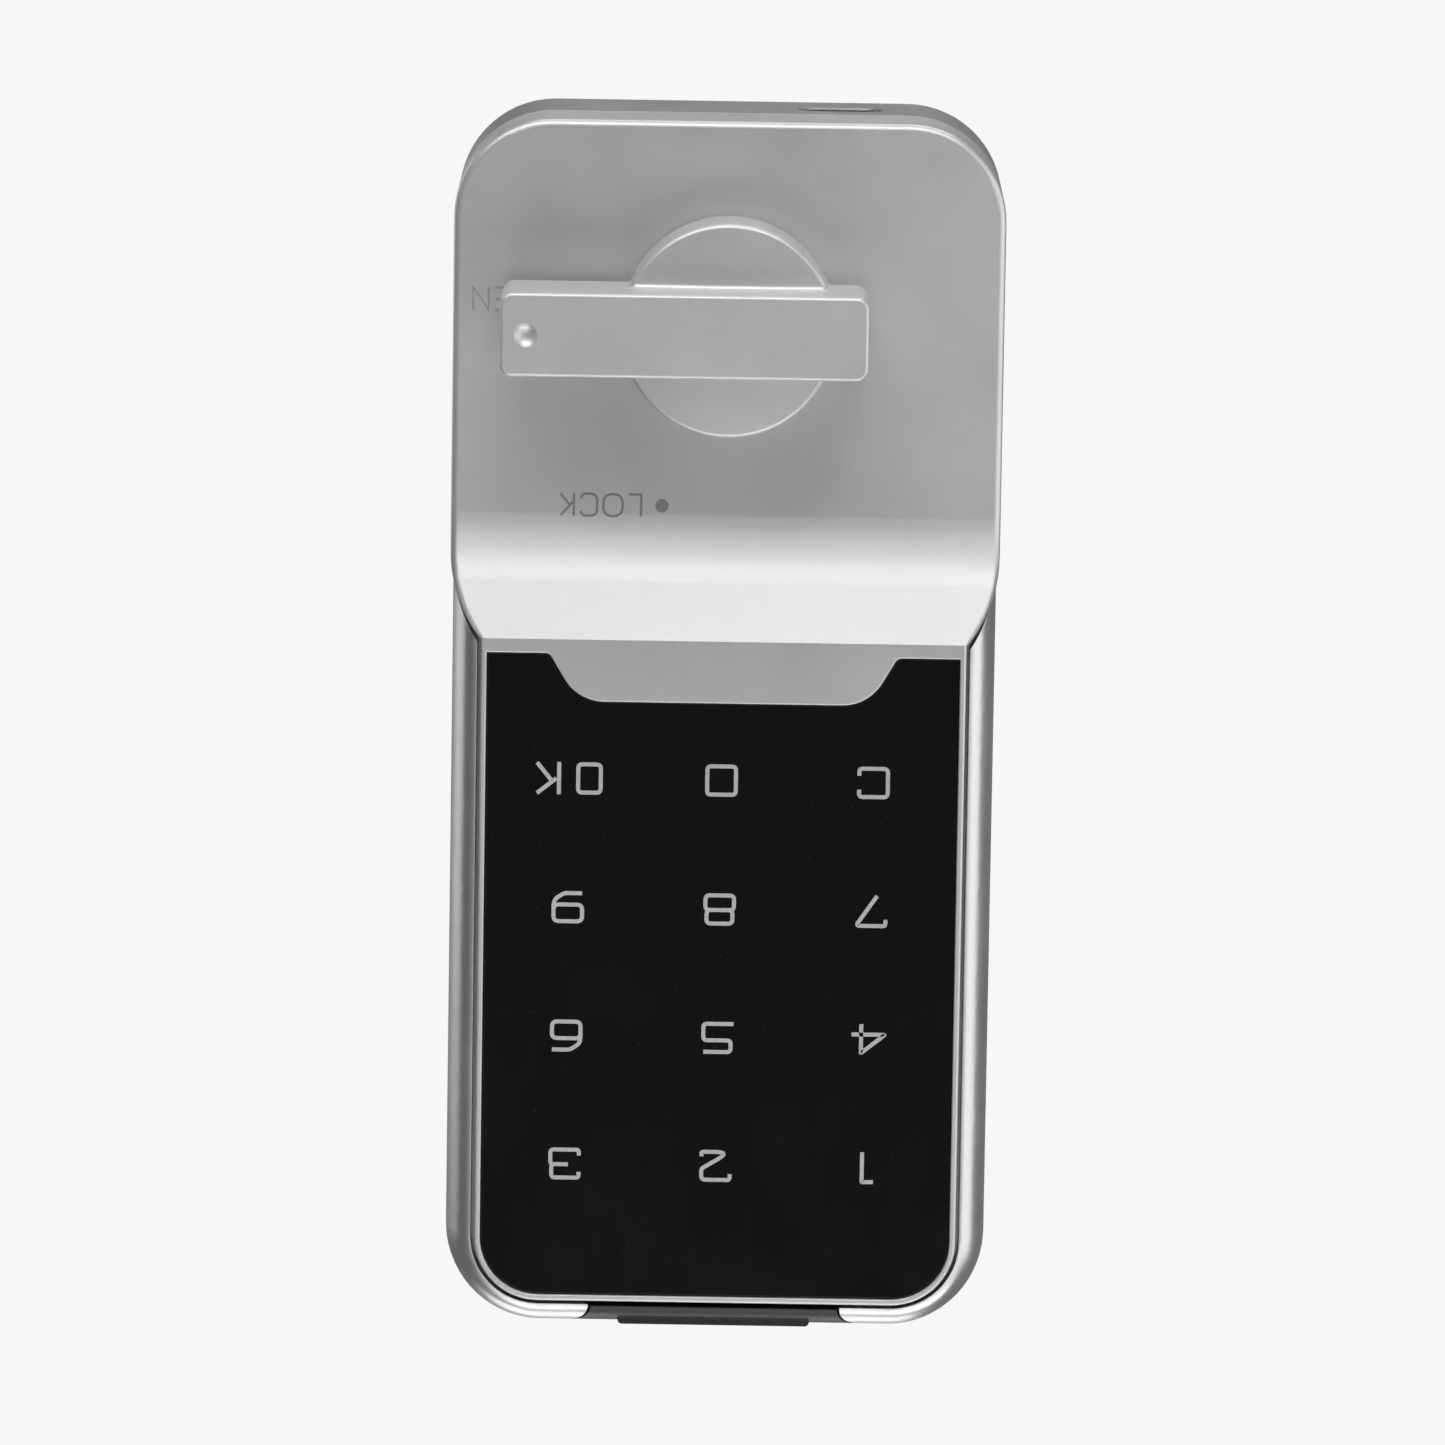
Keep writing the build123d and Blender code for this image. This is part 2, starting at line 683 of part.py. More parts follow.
with BuildPart() as touch_chip:
    with BuildSketch(front(TOUCH_LOW_H)):
        with Locations(TOUCH_CHIP_AT):
            Rectangle(*TOUCH_CHIP_SIZE)
    extrude(amount=-TOUCH_CHIP_T)
    chamfer(touch_chip.faces().sort_by(Axis.Y)[-1].edges(), CHIP_BREAK)
    with BuildSketch(front(TOUCH_LOW_H)):
        with Locations(TOUCH_CHIP_AT):
            with GridLocations(TOUCH_CHIP_SIZE[0] + 0.6, TOUCH_CHIP_SIZE[1] / 5, 2, 5):
                Rectangle(*PIN)
    extrude(amount=-PIN_T)
write(touch_chip, "touch_chip")

# --------------------------------------------------------------------- knob
lever_mid_x = (LEVER_POINTER_X + LEVER_TAIL_X) / 2
lever_length = LEVER_POINTER_X - LEVER_TAIL_X

with BuildPart() as knob:
    with BuildSketch(front(HOOD_H + KNOB_GAP)):
        Circle(DISC_R)
    extrude(amount=DISC_TOP_H - HOOD_H - KNOB_GAP)
    chamfer(knob.faces().sort_by(Axis.Y)[-1].edges(), EDGE_BREAK)
    # The disc's face is slightly crowned.
    with Locations((0, CROWN_R - DISC_TOP_H, 0)):
        Sphere(CROWN_R, mode=Mode.INTERSECT)
    fillet(knob.edges().filter_by(GeomType.CIRCLE).sort_by(Axis.Y)[0], DISC_EDGE_R)
    with BuildSketch(front(LEVER_LOW_H)):
        with Locations((lever_mid_x, 0)):
            RectangleRounded(lever_length, LEVER_W, LEVER_CORNER_R)
    extrude(amount=LEVER_TOP_H - LEVER_LOW_H)
    fillet(knob.faces().sort_by(Axis.Y)[0].edges(), LEVER_EDGE_R)
    root = knob.edges().filter_by(
        lambda e: abs(e.center().Y + DISC_TOP_H) < 1
        and abs(abs(e.center().Z) - LEVER_W / 2) < 0.02
        and abs(e.center().X) < 4
    )
    fillet(root, LEVER_ROOT_R)
    with BuildSketch(front(HOOD_H)):
        Circle(SPINDLE_R)
    extrude(amount=SPINDLE_TOP_H - HOOD_H, mode=Mode.SUBTRACT)
    ball_r = (DIMPLE_R**2 + DIMPLE_DEPTH**2) / (2 * DIMPLE_DEPTH)
    ball_h = LEVER_TOP_H - DIMPLE_DEPTH + ball_r
    with Locations((LEVER_POINTER_X - DIMPLE_INSET, -ball_h, 0)):
        Sphere(ball_r, mode=Mode.SUBTRACT)
write(knob, "knob")

with BuildPart() as spindle:
    with BuildSketch(front(KEYPAD_H)):
        Circle(SPINDLE_R)
    extrude(amount=SPINDLE_TOP_H - KEYPAD_H)
    with BuildSketch(front(CLIP_NECK_H)):
        with BuildLine():
            reach = (SPINDLE_R**2 - FLATS_HALF**2) ** 0.5
            upper = ThreePointArc((reach, FLATS_HALF), (SPINDLE_R, 0), (reach, -FLATS_HALF))
            floor_line = Line(upper @ 1, (-reach, -FLATS_HALF))
            lower = ThreePointArc(floor_line @ 1, (-SPINDLE_R, 0), (-reach, FLATS_HALF))
            Line(lower @ 1, upper @ 0)
        make_face()
    extrude(amount=KEYPAD_H - CLIP_NECK_H)
    with BuildSketch(front(SPINDLE_STEP_H)):
        Circle(SPINDLE_REAR_R)
    extrude(amount=CLIP_NECK_H - SPINDLE_STEP_H)
    with BuildSketch(front(SPINDLE_END_H)):
        Rectangle(2 * SQUARE_HALF, 2 * SQUARE_HALF)
    extrude(amount=SPINDLE_STEP_H - SPINDLE_END_H)
    with BuildSketch(front(CLIP_LOW_H)):
        Circle(SPINDLE_R + PAST)
        Circle(SPINDLE_R - CLIP_GROOVE, mode=Mode.SUBTRACT)
    extrude(amount=CLIP_T, mode=Mode.SUBTRACT)
    with BuildSketch(front(SPINDLE_END_H)):
        Circle(CAM_SCREW_BORE[0])
    extrude(amount=CAM_SCREW_BORE[1], mode=Mode.SUBTRACT)
    chamfer(spindle.faces().sort_by(Axis.Y)[0].edges(), 0.4)
write(spindle, "spindle")

with BuildPart() as rotor:
    with BuildSketch(front(ROTOR_LOW_H)):
        Circle(ROTOR_R)
        with BuildLine():
            bore_r = SPINDLE_R + RUNNING
            flat = FLATS_HALF + RUNNING
            reach = (bore_r**2 - flat**2) ** 0.5
            upper = ThreePointArc((reach, flat), (bore_r, 0), (reach, -flat))
            floor_line = Line(upper @ 1, (-reach, -flat))
            lower = ThreePointArc(floor_line @ 1, (-bore_r, 0), (-reach, flat))
            Line(lower @ 1, upper @ 0)
        make_face(mode=Mode.SUBTRACT)
        # Notches for the blocker: one under it when open, one when locked.
        with Locations((0, ROTOR_R)):
            Rectangle(NOTCH_W, 2 * NOTCH_DEPTH, mode=Mode.SUBTRACT)
        with Locations((ROTOR_R, 0)):
            Rectangle(2 * NOTCH_DEPTH, NOTCH_W, mode=Mode.SUBTRACT)
        # Stop slot: the fixed pin stands at one end when open and at the other when locked.
        stop_arc = CenterArc((0, 0), STOP_RING_R, STOP_DEG - 90, 90, mode=Mode.PRIVATE)
        SlotArc(stop_arc, 2 * (STOP_PIN_R + BODY_GAP), mode=Mode.SUBTRACT)
    extrude(amount=ROTOR_T)
    with BuildSketch(front(ROTOR_LOW_H)):
        with Locations(on_ring(MAGNET_DEG)):
            Circle(MAGNET_R)
    extrude(amount=MAGNET_T, mode=Mode.SUBTRACT)
write(rotor, "rotor")

with BuildPart() as rotor_magnet:
    with BuildSketch(front(ROTOR_LOW_H)):
        with Locations(on_ring(MAGNET_DEG)):
            Circle(MAGNET_R)
    extrude(amount=MAGNET_T)
write(rotor_magnet, "rotor_magnet")

with BuildPart() as circlip:
    with BuildSketch(front(CLIP_LOW_H)):
        Circle(CLIP_R)
        Circle(SPINDLE_R - CLIP_GROOVE + RUNNING, mode=Mode.SUBTRACT)
        with Locations((0, -SPINDLE_R)):
            Rectangle(CLIP_MOUTH, 2 * (SPINDLE_R - PAST), mode=Mode.SUBTRACT)
        with PolarLocations(CLIP_R, 3, start_angle=30, angular_range=360):
            Circle(CLIP_EAR_R, mode=Mode.SUBTRACT)
    extrude(amount=CLIP_T)
write(circlip, "circlip")

# -------------------------------------------------- barrel, nut, cam at the back
with BuildPart() as barrel:
    with BuildSketch(front(PLATE_TOP_H)):
        Circle(FLANGE_R)
    extrude(amount=FLANGE_TOP_H - PLATE_TOP_H)
    with BuildSketch(front(REGISTER_LOW_H)):
        Circle(REGISTER_R)
    extrude(amount=PLATE_TOP_H - REGISTER_LOW_H)
    with BuildSketch(front(BARREL_END_H)):
        Circle(THREAD_R)
    extrude(amount=PLATE_TOP_H - BARREL_END_H)
    with BuildSketch(front(-DOOR_T)):
        Circle(REGISTER_R)
    extrude(amount=DOOR_T)
    chamfer(barrel.faces().sort_by(Axis.Y)[-1].edges(), BARREL_CHAMFER)
    with BuildSketch(front(BARREL_END_H - PAST)):
        Circle(SPINDLE_REAR_R + RUNNING)
    extrude(amount=FLANGE_TOP_H + 2 * PAST - BARREL_END_H, mode=Mode.SUBTRACT)
    with BuildSketch(front(PLATE_TOP_H)):
        with Locations(on_ring(STOP_DEG)):
            Circle(STOP_PIN_R)
    extrude(amount=FLANGE_TOP_H - PLATE_TOP_H + PAST, mode=Mode.SUBTRACT)
write(barrel, "barrel")

with BuildPart() as stop_pin:
    with BuildSketch(front(PLATE_TOP_H)):
        with Locations(on_ring(STOP_DEG)):
            Circle(STOP_PIN_R)
    extrude(amount=STOP_PIN_TOP_H - PLATE_TOP_H)
write(stop_pin, "stop_pin")

with BuildPart() as barrel_washer:
    with BuildSketch(front(-DOOR_T)):
        Circle(TOOTH_R)
        Circle(THREAD_R + CLEARANCE, mode=Mode.SUBTRACT)
        with PolarLocations(TOOTH_R, 16):
            Rectangle(*TOOTH_CUT, mode=Mode.SUBTRACT)
    extrude(amount=-WASHER_T)
write(barrel_washer, "barrel_washer")

with BuildPart() as barrel_nut:
    with BuildSketch(front(-DOOR_T - WASHER_T)):
        RegularPolygon(NUT_FLATS / 2, 6, major_radius=False)
    extrude(amount=-NUT_T)
    with BuildSketch(Plane.XY):
        with BuildLine():
            low_y = DOOR_T + WASHER_T
            high_y = low_y + NUT_T
            corner_r = NUT_FLATS / 2 / cos(radians(30))
            Polyline((0, low_y), (NUT_FLATS / 2, low_y), (corner_r, low_y + NUT_BEVEL),
                     (corner_r, high_y - NUT_BEVEL), (NUT_FLATS / 2, high_y), (0, high_y), close=True)
        make_face()
    revolve(axis=Axis.Y, mode=Mode.INTERSECT)
    with BuildSketch(front(-DOOR_T)):
        Circle(THREAD_R + RUNNING)
    extrude(amount=BARREL_END_H + DOOR_T, mode=Mode.SUBTRACT)
write(barrel_nut, "barrel_nut")

with BuildPart() as cam:
    with BuildSketch(front(CAM_SEAT_H)):
        Circle(CAM_HUB_R)
        with Locations((0, CAM_LENGTH / 2)):
            RectangleRounded(CAM_W, CAM_LENGTH, CAM_CORNER_R)
        Rectangle(2 * (SQUARE_HALF + RUNNING), 2 * (SQUARE_HALF + RUNNING), mode=Mode.SUBTRACT)
    extrude(amount=-CAM_T)
    chamfer(cam.faces().sort_by(Axis.Y)[-1].outer_wire().edges(), 0.4)
write(cam, "cam")

with BuildPart() as cam_washer:
    with BuildSketch(front(CAM_WASHER_H)):
        Circle(CAM_WASHER_R)
        Circle(CAM_WASHER_BORE_R, mode=Mode.SUBTRACT)
    extrude(amount=-CAM_WASHER_T)
write(cam_washer, "cam_washer")

cam_screw = screw([(0, 0)], CAM_WASHER_H - CAM_WASHER_T, CAM_SCREW_TIP_H, CAM_SCREW_R,
                  CAM_HEAD_R, CAM_HEAD_T, True)
write(cam_screw, "cam_screw")

# --------------------------------------------------------------- mechanism
with BuildPart() as lock_bracket:
    with BuildSketch(front(PLATE_TOP_H)):
        with Locations((0, (BRACKET_LOW_Z + BRACKET_TOP_Z) / 2)):
            Rectangle(2 * BRACKET_HALF, BRACKET_TOP_Z - BRACKET_LOW_Z)
    extrude(amount=BRACKET_TOP_H - PLATE_TOP_H)
    with BuildSketch(front(PLATE_TOP_H)):
        with Locations((0, EAR_Z)):
            RectangleRounded(2 * EAR_HALF, EAR_LENGTH, EAR_CORNER_R)
    extrude(amount=EAR_TOP_H - PLATE_TOP_H)
    with BuildSketch(front(PLATE_TOP_H)):
        with Locations(*EAR_POINTS):
            Circle(SMALL_SCREW_R + CLEARANCE)
    extrude(amount=EAR_TOP_H, mode=Mode.SUBTRACT)
    with BuildSketch(drawer_plane(MOTOR_LOW_Z)):
        with Locations((0, AXIS_H)):
            Rectangle(BLOCKER_W + 2 * SLIDING, BLOCKER_T + 2 * SLIDING)
    extrude(amount=MOTOR_LOW_Z - BRACKET_LOW_Z + PAST, mode=Mode.SUBTRACT)
    with BuildSketch(drawer_plane(BRACKET_TOP_Z + PAST)):
        with Locations((0, AXIS_H)):
            Circle(MOTOR_R + RUNNING)
    extrude(amount=BRACKET_TOP_Z + PAST - MOTOR_LOW_Z, mode=Mode.SUBTRACT)
    # Open slot in front of the motor, so that it clips in.
    with BuildSketch(front(CLIP_SLOT_H)):
        with Locations((0, CLIP_SLOT_Z)):
            Rectangle(*CLIP_SLOT)
    extrude(amount=BRACKET_TOP_H - CLIP_SLOT_H + PAST, mode=Mode.SUBTRACT)
write(lock_bracket, "lock_bracket")

bracket_screws = screw(EAR_POINTS, EAR_TOP_H, PLATE_LOW_H + 0.2, SMALL_SCREW_R - RUNNING,
                       HEAD_R, HEAD_T, False)
write(bracket_screws, "bracket_screws")

with BuildPart() as blocker:
    with BuildSketch(drawer_plane(BLOCKER_TIP_Z + BLOCKER_LENGTH)):
        with Locations((0, AXIS_H)):
            Rectangle(BLOCKER_W, BLOCKER_T)
    extrude(amount=BLOCKER_LENGTH)
    chamfer(blocker.faces().sort_by(Axis.Z)[0].edges(), 0.4)
    with BuildSketch(drawer_plane(BLOCKER_TIP_Z + BLOCKER_LENGTH)):
        with Locations((0, AXIS_H)):
            Circle(SCREW_BORE_R)
    extrude(amount=BLOCKER_LENGTH - BLOCKER_END_T, mode=Mode.SUBTRACT)
write(blocker, "blocker")

with BuildPart() as lead_screw:
    with BuildSketch(drawer_plane(MOTOR_LOW_Z + MOTOR_NOSE)):
        with Locations((0, AXIS_H)):
            Circle(SCREW_R)
    extrude(amount=MOTOR_LOW_Z + MOTOR_NOSE - SCREW_TIP_Z)
    chamfer(lead_screw.faces().sort_by(Axis.Z)[0].edges(), EDGE_BREAK)
write(lead_screw, "lead_screw")

with BuildPart() as motor_can:
    with BuildSketch(drawer_plane(MOTOR_LOW_Z + MOTOR_LENGTH)):
        with Locations((0, AXIS_H)):
            Circle(MOTOR_R)
    extrude(amount=MOTOR_LENGTH)
    chamfer(motor_can.faces().sort_by(Axis.Z)[0].edges(), EDGE_BREAK)
    chamfer(motor_can.faces().sort_by(Axis.Z)[-1].edges(), EDGE_BREAK)
    with BuildSketch(drawer_plane(MOTOR_LOW_Z + MOTOR_NOSE + 0.5)):
        with Locations((0, AXIS_H)):
            Circle(SCREW_R + RUNNING)
    extrude(amount=MOTOR_NOSE + 0.5 + PAST, mode=Mode.SUBTRACT)
write(motor_can, "motor_can")

# --------------------------------------------------------- rear plate and boards
with BuildPart() as rear_plate:
    with BuildSketch(front(PLATE_LOW_H)):
        add(case_outline(PLATE_INSET))
        Circle(REGISTER_R + RUNNING, mode=Mode.SUBTRACT)
    extrude(amount=PLATE_TOP_H - PLATE_LOW_H)
    with BuildSketch(front(PLATE_TOP_H)):
        with Locations(*POSTS):
            Circle(POST_R)
        with Locations((USB_X - USB_POST_X, USB_BOARD_Z), (USB_X + USB_POST_X, USB_BOARD_Z)):
            Circle(USB_POST_R)
    extrude(amount=BOARD_LOW_H - PLATE_TOP_H)
    with BuildSketch(front(PLATE_TOP_H)):
        with Locations(*POSTS):
            Circle(TINY_SCREW_R)
    extrude(amount=BOARD_LOW_H, mode=Mode.SUBTRACT)
    with BuildSketch(front(PLATE_LOW_H)):
        with Locations(*REAR_SCREWS):
            Circle(SMALL_SCREW_R + CLEARANCE)
        with Locations(*MOUNT_POINTS):
            Circle(MOUNT_CLEAR_R)
        with Locations(*EAR_POINTS):
            Circle(SMALL_SCREW_R)
    extrude(amount=PLATE_TOP_H, mode=Mode.SUBTRACT)
    with BuildSketch(front(PLATE_LOW_H)):
        with Locations(*REAR_SCREWS):
            Circle(COUNTERBORE_R)
    extrude(amount=COUNTERBORE_T, mode=Mode.SUBTRACT)
    # Shallow pockets that core out the plate's outer face.
    with BuildSketch(front(PLATE_LOW_H)):
        with Locations((0, POCKET_MID_Z)):
            with GridLocations(POCKET_W + POCKET_GAP, POCKET_L + POCKET_GAP, 3, 3):
                RectangleRounded(POCKET_W, POCKET_L, POCKET_CORNER_R)
    extrude(amount=POCKET_DEPTH, mode=Mode.SUBTRACT)
write(rear_plate, "rear_plate")

rear_screws = screw(REAR_SCREWS, PLATE_LOW_H + COUNTERBORE_T, REAR_SCREW_DEPTH, SMALL_SCREW_R - RUNNING,
                    HEAD_R, REAR_HEAD_T, True)
write(rear_screws, "rear_screws")

face_screws = screw(FACE_SCREWS, LEDGE_LOW_H, FACE_SCREW_TIP_H, SMALL_SCREW_R - RUNNING, HEAD_R, HEAD_T, True)
write(face_screws, "face_screws")

board_screws = screw(POSTS, BOARD_TOP_H, PLATE_TOP_H + 0.3, TINY_SCREW_R - RUNNING,
                     BOARD_HEAD_R, BOARD_HEAD_T, False)
write(board_screws, "board_screws")

with BuildPart() as main_board:
    with BuildSketch(front(BOARD_LOW_H)):
        with Locations((0, (BOARD_LOW_Z + BOARD_TOP_Z) / 2)):
            RectangleRounded(2 * BOARD_HALF, BOARD_TOP_Z - BOARD_LOW_Z, BOARD_CORNER_R)
        with Locations((0, (BOARD_LOW_Z - PAST + SLOT_TOP_Z) / 2)):
            Rectangle(2 * SLOT_HALF, SLOT_TOP_Z - BOARD_LOW_Z + PAST, mode=Mode.SUBTRACT)
        with Locations(*POSTS):
            Circle(TINY_SCREW_R + CLEARANCE, mode=Mode.SUBTRACT)
    extrude(amount=BOARD_TOP_H - BOARD_LOW_H)
write(main_board, "main_board")


def chip(x, z, w, d, t, pins):
    """A square chip with pins on its two long sides, standing on the main board."""
    with BuildPart() as package:
        with BuildSketch(front(BOARD_TOP_H + CHIP_STANDOFF)):
            with Locations((x, z)):
                Rectangle(w, d)
        extrude(amount=t)
        chamfer(package.faces().sort_by(Axis.Y)[0].edges(), CHIP_BREAK)
        with BuildSketch(front(BOARD_TOP_H)):
            with Locations((x, z)):
                with GridLocations(w + 0.4, d / pins, 2, pins):
                    Rectangle(1.0, 0.5 * d / pins)
        extrude(amount=0.4)
    return package


controller = chip(*CONTROLLER)
write(controller, "controller_chip")
motor_driver = chip(*MOTOR_DRIVER)
write(motor_driver, "motor_driver_chip")
hall_sensor = chip(*HALL_SENSOR)
write(hall_sensor, "hall_sensor")

with BuildPart() as buzzer:
    with BuildSketch(front(BOARD_TOP_H)):
        with Locations(BUZZER_AT):
            Circle(BUZZER_R)
    extrude(amount=BUZZER_T)
    chamfer(buzzer.faces().sort_by(Axis.Y)[0].edges(), 0.4)
    with BuildSketch(front(SOUND_HOLE_H)):
        with Locations(BUZZER_AT):
            Circle(SOUND_HOLE_R)
    extrude(amount=BUZZER_T, mode=Mode.SUBTRACT)
write(buzzer, "buzzer")

with BuildPart() as motor_connector:
    with BuildSketch(front(BOARD_TOP_H)):
        with Locations(CONNECTOR_AT):
            Rectangle(*CONNECTOR)
    extrude(amount=CONNECTOR_T)
    with BuildSketch(front(BOARD_TOP_H + 1)):
        with Locations(CONNECTOR_CAVITY_AT):
            Rectangle(*CONNECTOR_CAVITY)
    extrude(amount=CONNECTOR_T, mode=Mode.SUBTRACT)
write(motor_connector, "motor_connector")

with BuildPart() as flex_cable:
    with BuildSketch(Plane.YZ.offset(FLEX_X)):
        with BuildLine():
            high_y = -TOUCH_LOW_H + FLEX_T
            low_y = -BOARD_TOP_H - FLEX_T
            bend_r = (low_y - high_y) / 2
            top_run = Line((high_y, FLEX_FRONT_Z[0]), (high_y, FLEX_FRONT_Z[1]))
            bend = JernArc(top_run @ 1, (0, 1), bend_r, -180)
            Line(bend @ 1, (low_y, FLEX_BACK_Z))
            offset(amount=FLEX_T / 2, side=Side.BOTH)
        make_face()
    extrude(amount=FLEX_W)
write(flex_cable, "flex_cable")

# ----------------------------------------------------- emergency power socket
with BuildPart() as usb_shell:
    with BuildSketch(drawer_plane(USB_LOW_Z + USB_DEPTH)):
        with Locations((USB_X, USB_H)):
            RectangleRounded(USB_W, USB_T, USB_T / 2 - 0.01)
    extrude(amount=USB_DEPTH)
    with BuildSketch(drawer_plane(USB_LOW_Z + USB_DEPTH - USB_BACK_T)):
        with Locations((USB_X, USB_H)):
            RectangleRounded(USB_W - 2 * USB_WALL, USB_T - 2 * USB_WALL, USB_T / 2 - USB_WALL - 0.01)
    extrude(amount=USB_DEPTH, mode=Mode.SUBTRACT)
write(usb_shell, "usb_shell")

with BuildPart() as usb_tongue:
    with BuildSketch(drawer_plane(USB_LOW_Z + USB_DEPTH - USB_BACK_T)):
        with Locations((USB_X, USB_H)):
            Rectangle(*TONGUE)
    extrude(amount=TONGUE_LENGTH)
    chamfer(usb_tongue.faces().sort_by(Axis.Z)[0].edges(), CHIP_BREAK)
write(usb_tongue, "usb_tongue")

with BuildPart() as usb_board:
    with BuildSketch(front(BOARD_LOW_H)):
        with Locations((USB_X, USB_BOARD_Z)):
            Rectangle(*USB_BOARD)
    extrude(amount=BOARD_TOP_H - BOARD_LOW_H)
    with BuildSketch(front(BOARD_LOW_H)):
        with Locations((USB_X - USB_LEG_X, USB_LEG_Z), (USB_X + USB_LEG_X, USB_LEG_Z)):
            Rectangle(*USB_LEG)
    extrude(amount=USB_H - USB_T / 2 - BOARD_LOW_H)
write(usb_board, "usb_board")

# -------------------------------------------------------------- battery drawer
with BuildPart() as battery_cover:
    add(case_blank.part)
    with BuildSketch(drawer_plane(TOP_Z + PAST)):
        with BuildLine():
            Polyline(*cover_profile(low=COVER_LOW_H, inset=BODY_GAP), close=True)
        make_face()
    extrude(amount=TOP_Z + PAST - COVER_LOW_Z, mode=Mode.INTERSECT)
    with BuildSketch(front(TRAY_TOP_H)):
        with Locations((0, RIDGE_Z)):
            RectangleRounded(RIDGE_W, RIDGE_T, RIDGE_T / 2 - 0.05)
    extrude(amount=RIDGE_TOP_H - TRAY_TOP_H)
write(battery_cover, "battery_cover")


def tray_section(inset=0.0, low=COVER_LOW_H, top=TRAY_TOP_H):
    """Section of the tray across Z: the mouth's shape less the running gap, up to the open front."""
    right = [(x - BODY_GAP - SLIDING - inset, h) for x, h in COVER_POINTS]
    slope = (right[1][0] - right[0][0]) / (right[1][1] - right[0][1])
    crest = (right[1][0] + slope * (top - right[1][1]), top)
    points = [crest, right[1], (right[2][0], low)]
    return points + [(-x, h) for x, h in reversed(points)]


cells = [(i * CELL_PITCH, CELL_H) for i in (-1, 0, 1)]

with BuildPart() as battery_tray:
    with BuildSketch(drawer_plane(COVER_LOW_Z)):
        with BuildLine():
            Polyline(*tray_section(), close=True)
        make_face()
    extrude(amount=COVER_LOW_Z - TRAY_LOW_Z)
    with BuildSketch(drawer_plane(COVER_LOW_Z - TRAY_END_WALL)):
        with BuildLine():
            Polyline(*tray_section(TRAY_WALL, COVER_LOW_H + TRAY_FLOOR, TRAY_TOP_H + PAST), close=True)
        make_face()
    extrude(amount=COVER_LOW_Z - TRAY_END_WALL - TRAY_LOW_Z - TRAY_INNER_T, mode=Mode.SUBTRACT)
    # Windows in the inner end, through which the bay's contacts reach the cells.
    with BuildSketch(drawer_plane(TRAY_LOW_Z + TRAY_INNER_T + PAST)):
        with Locations(*cells):
            Rectangle(TRAY_WINDOW, TRAY_WINDOW)
    extrude(amount=TRAY_INNER_T + 2 * PAST, mode=Mode.SUBTRACT)
write(battery_tray, "battery_tray")

with BuildPart() as tray_contacts:
    with BuildSketch(drawer_plane(COVER_LOW_Z - TRAY_END_WALL)):
        with Locations((-CELL_PITCH / 2, CELL_H)):
            Rectangle(CELL_PITCH + CONTACT_PAD, CONTACT_PAD)
        with Locations((CELL_PITCH, CELL_H)):
            Rectangle(CONTACT_PAD, CONTACT_PAD)
    extrude(amount=CONTACT_T)
write(tray_contacts, "tray_contacts")

spring_top_z = COVER_LOW_Z - TRAY_END_WALL - CONTACT_T
for number, (x, h) in enumerate(cells, start=1):
    # Cells alternate, so the middle one has its nub against the drawer's outer end.
    nub_up = number == 2
    with BuildPart() as battery:
        base_z = CELL_Z if nub_up else CELL_Z + NUB_T
        with BuildSketch(drawer_plane(base_z + CELL_LENGTH - NUB_T)):
            with Locations((x, h)):
                Circle(CELL_R - 0.02)
        extrude(amount=CELL_LENGTH - NUB_T)
        chamfer(battery.edges().filter_by(GeomType.CIRCLE), CELL_CHAMFER)
        with BuildSketch(drawer_plane(CELL_TOP_Z if nub_up else CELL_Z + NUB_T)):
            with Locations((x, h)):
                Circle(NUB_R)
        extrude(amount=NUB_T)
    write(battery, f"battery_{number}")

with BuildPart() as contact_springs:
    for x, h in cells:
        with BuildSketch(drawer_plane(spring_top_z)):
            with Locations((x, h)):
                Circle(SPRING_R + SPRING_WALL)
                Circle(SPRING_R, mode=Mode.SUBTRACT)
        extrude(amount=spring_top_z - CELL_TOP_Z - 0.05)
write(contact_springs, "contact_springs")

# ---------------------------------------------------------------- battery bay
with BuildPart() as battery_bay:
    outer_half = COVER_POINTS[2][0] + BAY_SIDE
    with BuildSketch(front(BAY_LOW_H)):
        with Locations((0, (BAY_LOW_Z + BAY_TOP_Z) / 2)):
            Rectangle(2 * outer_half, BAY_TOP_Z - BAY_LOW_Z)
    extrude(amount=BAY_TOP_H - BAY_LOW_H)
    with BuildSketch(drawer_plane(BAY_TOP_Z + PAST)):
        with BuildLine():
            Polyline(*cover_profile(low=BAY_FLOOR_H), close=True)
        make_face()
    extrude(amount=BAY_TOP_Z + PAST - BAY_LOW_Z - BAY_END_WALL, mode=Mode.SUBTRACT)
write(battery_bay, "battery_bay")

with BuildPart() as bay_contacts:
    with BuildSketch(drawer_plane(BAY_LOW_Z + BAY_END_WALL + CONTACT_T)):
        with Locations((CELL_PITCH / 2, CELL_H)):
            Rectangle(CELL_PITCH + BAY_PAD, BAY_PAD)
        with Locations((-CELL_PITCH, CELL_H)):
            Rectangle(BAY_PAD, BAY_PAD)
    extrude(amount=CONTACT_T)
    with BuildSketch(drawer_plane(CELL_Z - BODY_GAP)):
        with Locations(*cells):
            Circle(BAY_STUD_R)
    extrude(amount=CELL_Z - BODY_GAP - BAY_LOW_Z - BAY_END_WALL - CONTACT_T)
write(bay_contacts, "bay_contacts")
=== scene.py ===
import json
from math import cos, pi, radians, sin, tan

import bmesh
import bpy
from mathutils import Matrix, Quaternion, Vector


